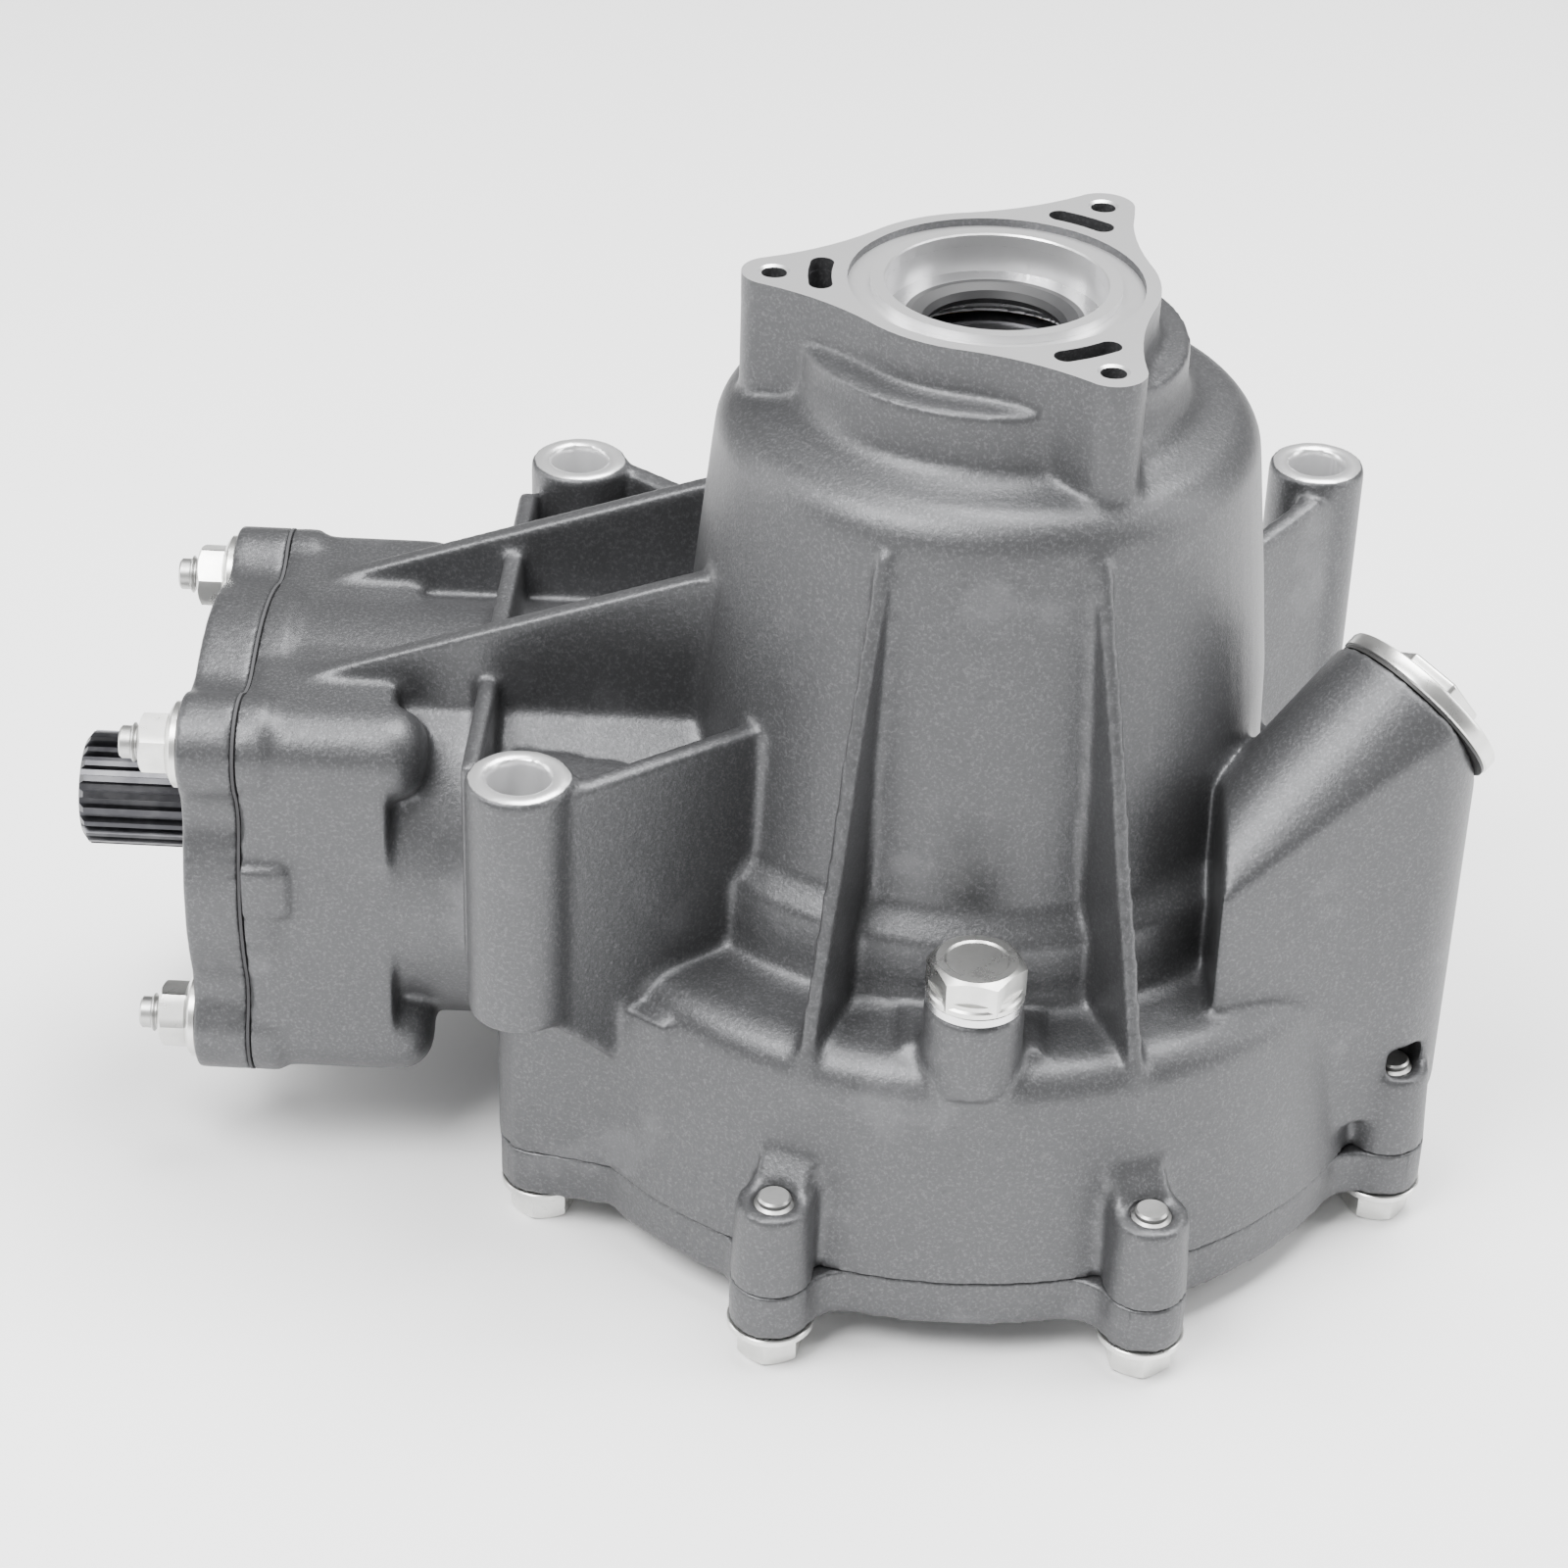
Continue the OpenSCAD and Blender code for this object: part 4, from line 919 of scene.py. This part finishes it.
    def _cut(self, piece: bpy.types.Object, keep_below: bool) -> None:
        """Cuts a piece at the foot of the machined flange and closes it.

        Args:
            piece: The piece.
            keep_below: True to keep what is under the cut.
        """
        bm = bmesh.new()
        bm.from_mesh(piece.data)
        bmesh.ops.remove_doubles(bm, verts=bm.verts, dist=1e-6)
        cut = bmesh.ops.bisect_plane(bm, geom=bm.verts[:] + bm.edges[:] + bm.faces[:],
                                     plane_co=(0, 0, self.flange_cut), plane_no=(0, 0, 1),
                                     clear_outer=keep_below, clear_inner=not keep_below)
        rim = [e for e in cut["geom_cut"] if isinstance(e, bmesh.types.BMEdge)]
        bmesh.ops.triangle_fill(bm, edges=rim, use_beauty=True, use_dissolve=False)
        limit = math.radians(self.skin_angle if keep_below else self.face_angle)
        for face in bm.faces:
            face.smooth = True
        for edge in bm.edges:
            edge.smooth = len(edge.link_faces) == 2 and edge.calc_face_angle(0.0) < limit
        bm.to_mesh(piece.data)
        bm.free()


@dataclass
class Covers:
    """The two bolted covers."""

    joint: float = -0.174
    cover_face: float = -0.1458
    seal_axis: float = -0.126
    seal_bore: float = 0.0232
    margin: float = 0.0008
    passes: int = 5
    triangles: int = 60000

    def _raw_side(self, points: np.ndarray) -> np.ndarray:
        """Weights of the raw surface of the side cover."""
        return np.where(points[:, 2] > self.joint - self.margin, 0.0, 1.0)

    def _raw_input(self, points: np.ndarray) -> np.ndarray:
        """Weights of the raw surface of the pinion cover.

        Args:
            points: Points of the skin in metres.

        Returns:
            1 on raw surface and 0 on the joint face and round the seal.
        """
        x, y, z = points.T
        bore = np.hypot(y, z - self.seal_axis) < self.seal_bore
        return np.where((x > self.cover_face - self.margin) | bore, 0.0, 1.0)

    def build(self, nodes: dict, finishes: Finishes) -> dict[str, bpy.types.Object]:
        """Makes the skins of both covers.

        Args:
            nodes: The CAD nodes by name.
            finishes: The materials.

        Returns:
            The pieces by the CAD node that they stand for.
        """
        skin = CastSkin(passes=self.passes, triangles=self.triangles)
        side = skin.build(nodes["side_cover"], "cast_side_cover", self._raw_side)
        lid = skin.build(nodes["pinion_cover"], "cast_pinion_cover", self._raw_input)
        for piece in (side, lid):
            paint(piece, finishes.cast)
        return {"side_cover": side, "pinion_cover": lid}


@dataclass
class FlangedHex:
    """Hexagon head or nut with a round flange.

    Attributes:
        across: Width across the flats.
        flange_r: Radius of the flange.
        height: Whole height.
        rim: Height of the flange's edge, as a share of the whole height.
        cone: Foot of the flange's slope, as a share of the width.
        crown: Radius of the round top, as a share of half the width.
        corner: Radius of the turned corners, as a share of half the width.
    """

    across: float = 0.012
    flange_r: float = 0.0087
    height: float = 0.0082
    rim: float = 0.16
    cone: float = 0.54
    crown: float = 0.93
    corner: float = 1.14

    def build(self, finishes: Finishes, name: str, bore: float = 0.0) -> bpy.types.Object:
        """Models the head standing on z = 0.

        Args:
            finishes: The materials.
            name: The name of the piece.
            bore: Radius of a hole through it, or 0 for a bolt head.

        Returns:
            The head.
        """
        rim = self.height * self.rim
        bm = bmesh.new()
        inner = max(bore, 1e-7)
        flange = [(inner, 0.0), (self.flange_r - 0.0002, 0.0), (self.flange_r, 0.0002), (self.flange_r, rim),
                  (self.flange_r - 0.0004, rim + 0.0004), (self.across * self.cone, rim + 0.0014),
                  (inner, rim + 0.0016)]
        spun(bm, flange, 48)
        pieces = [finished(name + "_flange", bm, finishes.zinc),
                  finished(name + "_hex", self._hexagon(bore), finishes.zinc, 22.0)]
        return joined(name, pieces)

    def _hexagon(self, bore: float) -> bmesh.types.BMesh:
        """Models the six flats, their turned corners and the round top.

        Args:
            bore: Radius of the hole, or 0.

        Returns:
            The mesh, with a flat facing +X.
        """
        half = self.across / 2
        crown = half * self.crown
        turns = [math.radians(7.5 * i) for i in range(48)]
        sides = [min(half / math.cos((turn + math.pi / 6) % (math.pi / 3) - math.pi / 6),
                     half * self.corner) for turn in turns]

        def ring(radius: float, height: float) -> list[tuple[float, float, float]]:
            """Round ring of points."""
            return [(radius * math.cos(turn), radius * math.sin(turn), height) for turn in turns]

        foot = [(side * math.cos(turn), side * math.sin(turn), 0.0005) for turn, side in zip(turns, sides)]
        brow = [(x, y, self.height - (side - crown) * 0.6) for (x, y, _), side in zip(foot, sides)]
        rings = [foot, brow, ring(crown, self.height)]
        if bore:
            rings += [ring(bore + 0.0005, self.height), ring(bore, self.height - 0.0005), ring(bore, 0.0005)]
        else:
            rings += [ring(crown * 0.8, self.height), ring(crown * 0.74, self.height - 0.0003)]
        bm = bmesh.new()
        ringed(bm, rings, closed=bool(bore))
        return bm


@dataclass
class ThreadedEnd:
    """End of a bolt or stud with rolled threads.

    Attributes:
        radius: Outer radius of the thread.
        pitch: Height of one turn.
        depth: Depth of the thread, as a share of the pitch.
        outline: Where one turn starts, is full, ends being full and ends, as shares of the pitch.
    """

    radius: float = 0.004
    pitch: float = 0.00125
    depth: float = 0.55
    outline: tuple[float, float, float, float] = (0.1, 0.45, 0.6, 0.95)

    def build(self, finishes: Finishes, name: str, length: float) -> bpy.types.Object:
        """Models the threads from z = 0 up.

        Args:
            finishes: The materials.
            name: The name of the piece.
            length: The length of the thread.

        Returns:
            The threaded rod.
        """
        root = self.radius - self.pitch * self.depth
        radii = (root, self.radius, self.radius, root)
        turns = int((length - 0.001) / self.pitch)
        profile = [(1e-7, 0.0), (root, 0.0)]
        for turn in range(turns):
            foot = turn * self.pitch
            profile += [(radius, foot + self.pitch * share) for radius, share in zip(radii, self.outline)]
        profile += [(root, length - 0.0004), (root - 0.0004, length), (1e-7, length)]
        bm = bmesh.new()
        spun(bm, profile, 32)
        return finished(name, bm, finishes.thread, 25.0)


@dataclass
class CoverBolts:
    """The eight flange bolts of the side cover."""

    circle: float = 0.0972
    angles: tuple[float, ...] = (-150, -111, -66.5, -21.5, 21.5, 66.5, 111, 150)
    seat: float = -0.1845
    length: float = 0.030
    twist: float = 1.7

    def build(self, finishes: Finishes) -> bpy.types.Object:
        """Makes all eight bolts as one piece.

        Args:
            finishes: The materials.

        Returns:
            The bolts in their places.
        """
        head = FlangedHex().build(finishes, "bolt_head")
        head.data.transform(Matrix.Rotation(math.pi, 4, "X"))
        shank = ThreadedEnd().build(finishes, "bolt_shank", self.length)
        one = joined("one_bolt", [head, shank])
        places = [Matrix.Translation((self.circle * math.cos(math.radians(a)),
                                      self.circle * math.sin(math.radians(a)), self.seat))
                  @ Matrix.Rotation(math.radians(a * self.twist), 4, "Z") for a in self.angles]
        return placed(one, places, "flange_bolts")


@dataclass
class StudSet:
    """The four studs of the pinion cover and their flange nuts."""

    axis_z: float = -0.126
    half_y: float = 0.0341
    half_z: float = 0.0332
    seat: float = -0.157
    stick_out: float = 0.0125
    root: float = 0.031
    first_turn: float = 9.0
    turn_step: float = 23.0

    def _corners(self, x: float) -> list[Matrix]:
        """Places of the studs, pointing out along the input shaft.

        Args:
            x: Where each piece starts on its stud's line.

        Returns:
            One matrix for each stud.
        """
        return [turn_to(Axis.INPUT.value, Vector((x, sy * self.half_y, self.axis_z + sz * self.half_z)))
                @ Matrix.Rotation(math.radians(self.first_turn + self.turn_step * i), 4, "Z")
                for i, (sy, sz) in enumerate(((-1, -1), (-1, 1), (1, -1), (1, 1)))]

    def build(self, finishes: Finishes) -> dict[str, bpy.types.Object]:
        """Makes studs and nuts.

        Args:
            finishes: The materials.

        Returns:
            The pieces by the CAD node that they stand for.
        """
        nut = FlangedHex().build(finishes, "stud_nut", bore=0.0037)
        stud = ThreadedEnd().build(finishes, "stud_rod", self.root + self.stick_out)
        return {"pinion_nuts": placed(nut, self._corners(self.seat), "flange_nuts"),
                "pinion_studs": placed(stud, self._corners(self.seat + self.root), "threaded_studs")}


@dataclass
class LevelPlug:
    """Hexagon plug in the boss at the front of the drum."""

    place: Vector
    across: float = 0.017
    flange: float = 0.56
    height: float = 0.0076
    shank_r: float = 0.006
    shank: float = 0.013
    turn: float = 24.0

    def build(self, finishes: Finishes) -> bpy.types.Object:
        """Makes the plug.

        Args:
            finishes: The materials.

        Returns:
            The plug in its place.
        """
        head = FlangedHex(self.across, self.across * self.flange, self.height).build(finishes, "plug_head")
        bm = bmesh.new()
        spun(bm, [(1e-7, -self.shank), (self.shank_r - 0.0005, -self.shank),
                  (self.shank_r, 0.0005 - self.shank), (self.shank_r, 0.0004), (1e-7, 0.0004)], 32)
        shank = finished("plug_shank", bm, finishes.thread)
        plug = joined("hex_level_plug", [head, shank])
        plug.data.transform(Matrix.Translation(self.place) @ Matrix.Rotation(math.radians(self.turn), 4, "Z"))
        return plug


@dataclass
class FillerCap:
    """Bright cap that closes the oil filler neck."""

    seat: Vector
    turn: float = 36.0
    rise: float = 36.0
    radius: float = 0.0187
    lift: float = 0.0006
    rim: float = 0.0036
    plug_r: float = 0.0119
    depth: float = 0.0135
    groove: tuple[float, float, float, float] = (0.0145, 0.0138, 0.0118, 0.0112)
    groove_depth: float = 0.0005
    grip_r: float = 0.0105
    grip: float = 0.0042
    grip_bevel: float = 0.0007

    def direction(self) -> Vector:
        """Direction that the cap faces."""
        level = math.cos(math.radians(self.rise))
        return Vector((level * math.cos(math.radians(self.turn)), level * math.sin(math.radians(self.turn)),
                       math.sin(math.radians(self.rise))))

    def build(self, finishes: Finishes) -> bpy.types.Object:
        """Makes the cap.

        Args:
            finishes: The materials.

        Returns:
            The cap in its place.
        """
        base, top, edge, plug = self.lift, self.lift + self.rim, self.radius, self.plug_r
        groove, sunk = self.groove, self.lift + self.rim - self.groove_depth
        bm = bmesh.new()
        spun(bm, [(1e-7, -self.depth), (plug - 0.0004, -self.depth), (plug, 0.0005 - self.depth),
                  (plug, base), (edge - 0.0004, base), (edge, base + 0.0004), (edge, top - 0.0009),
                  (edge - 0.0003, top - 0.0003), (edge - 0.0009, top), (groove[0], top), (groove[1], sunk),
                  (groove[2], sunk), (groove[3], top), (1e-7, top)], 96)
        disc = finished("cap_disc", bm, finishes.zinc)
        grip = bmesh.new()
        bmesh.ops.create_circle(grip, cap_ends=True, segments=6, radius=self.grip_r)
        raised = bmesh.ops.extrude_face_region(grip, geom=grip.faces[:])
        crown = [v for v in raised["geom"] if isinstance(v, bmesh.types.BMVert)]
        bmesh.ops.translate(grip, verts=crown, vec=(0, 0, self.grip))
        bmesh.ops.bevel(grip, geom=grip.edges[:], offset=self.grip_bevel, segments=3, affect="EDGES",
                        profile=0.5, material=-1)
        bmesh.ops.translate(grip, verts=grip.verts, vec=(0, 0, top - 0.0004))
        cap = joined("filler_neck_cap", [disc, finished("cap_grip", grip, finishes.zinc)])
        cap.data.transform(turn_to(self.direction(), self.seat))
        return cap


@dataclass(frozen=True)
class SoftBox:
    """One rectangular light.

    Attributes:
        name: The name of the light.
        at: Where it stands.
        size: Its width and height.
        power: Its power in watts.
    """

    name: str
    at: tuple[float, float, float]
    size: tuple[float, float]
    power: float

    def build(self, aim: Vector) -> None:
        """Adds the light.

        Args:
            aim: What it points at.
        """
        lamp = bpy.data.lights.new(self.name, "AREA")
        lamp.shape = "RECTANGLE"
        lamp.size, lamp.size_y = self.size
        lamp.energy = self.power
        holder = linked(self.name, lamp)
        holder.location = self.at
        holder.rotation_euler = (aim - Vector(self.at)).to_track_quat("-Z", "Y").to_euler()


@dataclass
class Studio:
    """Floor, soft lights and the camera at the photograph's angle."""

    floor_z: float = -0.1927
    floor_half: float = 4.0
    middle: tuple[float, float, float] = (0.0, 0.0, -0.1)
    boxes: tuple[SoftBox, ...] = (
        SoftBox("key_box", (-0.55, -0.5, 0.95), (0.7, 0.7), 30.0),
        SoftBox("top_box", (0.25, 0.25, 1.1), (0.9, 0.9), 40.0),
        SoftBox("left_strip", (-1.0, 0.1, 0.25), (0.4, 0.9), 6.5),
        SoftBox("right_strip", (1.0, 0.0, 0.3), (0.4, 0.9), 8.0),
        SoftBox("front_fill", (0.1, -1.2, 0.15), (1.2, 0.8), 1.8),
    )
    sky: float = 0.38
    camera_at: tuple[float, float, float] = (-0.01976, -0.67771, 0.31555)
    forward: tuple[float, float, float] = (-0.0226, 0.8425, -0.5382)
    up: tuple[float, float, float] = (-0.04644, 0.53682, 0.84242)
    lens: float = 88.14

    def build(self, finishes: Finishes) -> None:
        """Adds floor, lights, world and camera.

        Args:
            finishes: The materials.
        """
        bm = bmesh.new()
        bmesh.ops.create_grid(bm, x_segments=1, y_segments=1, size=self.floor_half)
        bmesh.ops.translate(bm, verts=bm.verts, vec=(0, 0, self.floor_z))
        floor = finished("studio_floor", bm, finishes.floor)
        for box in self.boxes:
            box.build(Vector(self.middle))
        world = bpy.data.worlds.new("studio_world")
        world.use_nodes = True
        background = world.node_tree.nodes["Background"]
        background.inputs["Color"].default_value = (1.0, 1.0, 1.0, 1.0)
        background.inputs["Strength"].default_value = self.sky
        bpy.context.scene.world = world
        forward = Vector(self.forward).normalized()
        right = forward.cross(Vector(self.up)).normalized()
        up = right.cross(forward)
        lens = bpy.data.cameras.new("photo_camera")
        lens.lens = self.lens
        lens.sensor_width = 36.0
        camera = linked("photo_camera", lens)
        camera.matrix_world = Matrix.Translation(self.camera_at) @ Matrix(
            (right, up, -forward)).transposed().to_4x4()
        bpy.context.scene.camera = camera


class Differential:
    """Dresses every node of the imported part."""

    def __init__(self, frame: dict, finishes: Finishes) -> None:
        """Keeps the frame.

        Args:
            finishes: The materials.
        """
        self.nodes = frame["nodes"]
        self.slots = {part["node"]: part["material_slot"] for part in frame["record"]["subparts"]}
        self.finishes = finishes

    def settle(self, piece: bpy.types.Object, node: str) -> None:
        """Fixes a piece to the housing in place of the node that it stands for.

        Args:
            piece: The finished piece.
            node: The CAD node that it replaces.
        """
        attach(piece, "housing")
        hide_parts(node)
        LOG.info("%s: %d faces", piece.name, len(piece.data.polygons))

    def dress_nodes(self) -> None:
        """Gives every CAD node that stays visible its finish."""
        finish = {"cast_alloy": self.finishes.cast, "zinc_plate": self.finishes.zinc,
                  "oil_rubber": self.finishes.rubber, "soft_washer": self.finishes.washer,
                  "gasket_fibre": self.finishes.gasket, "bronze": self.finishes.bronze,
                  "dark_steel": self.finishes.spline, "iron_casting": self.finishes.iron,
                  "ground_steel": self.finishes.steel}
        for name, node in self.nodes.items():
            paint(node, finish[self.slots[name]])
        paint(self.nodes["output_seals"], self.finishes.output_seal)
        paint(self.nodes["input_seal"], self.finishes.input_seal)

    def build(self) -> None:
        """Makes and settles every new piece."""
        self.dress_nodes()
        self.settle(MainHousing().build(self.nodes["main_housing"], self.finishes), "main_housing")
        for node, piece in Covers().build(self.nodes, self.finishes).items():
            self.settle(piece, node)
        self.settle(CoverBolts().build(self.finishes), "cover_bolts")
        for node, piece in StudSet().build(self.finishes).items():
            self.settle(piece, node)
        self.settle(LevelPlug(millimetres(2.0, -79.5, -111.6)).build(self.finishes), "level_plug")
        self.settle(FillerCap(millimetres(87.0, -21.0, -80.0)).build(self.finishes), "filler_cap")


def main() -> None:
    """Builds the whole scene."""
    logging.basicConfig(level=logging.INFO, format="%(name)s %(message)s")
    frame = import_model()
    finishes = Finishes()
    Studio().build(finishes)
    Differential(frame, finishes).build()


if __name__ == "__main__":
    main()
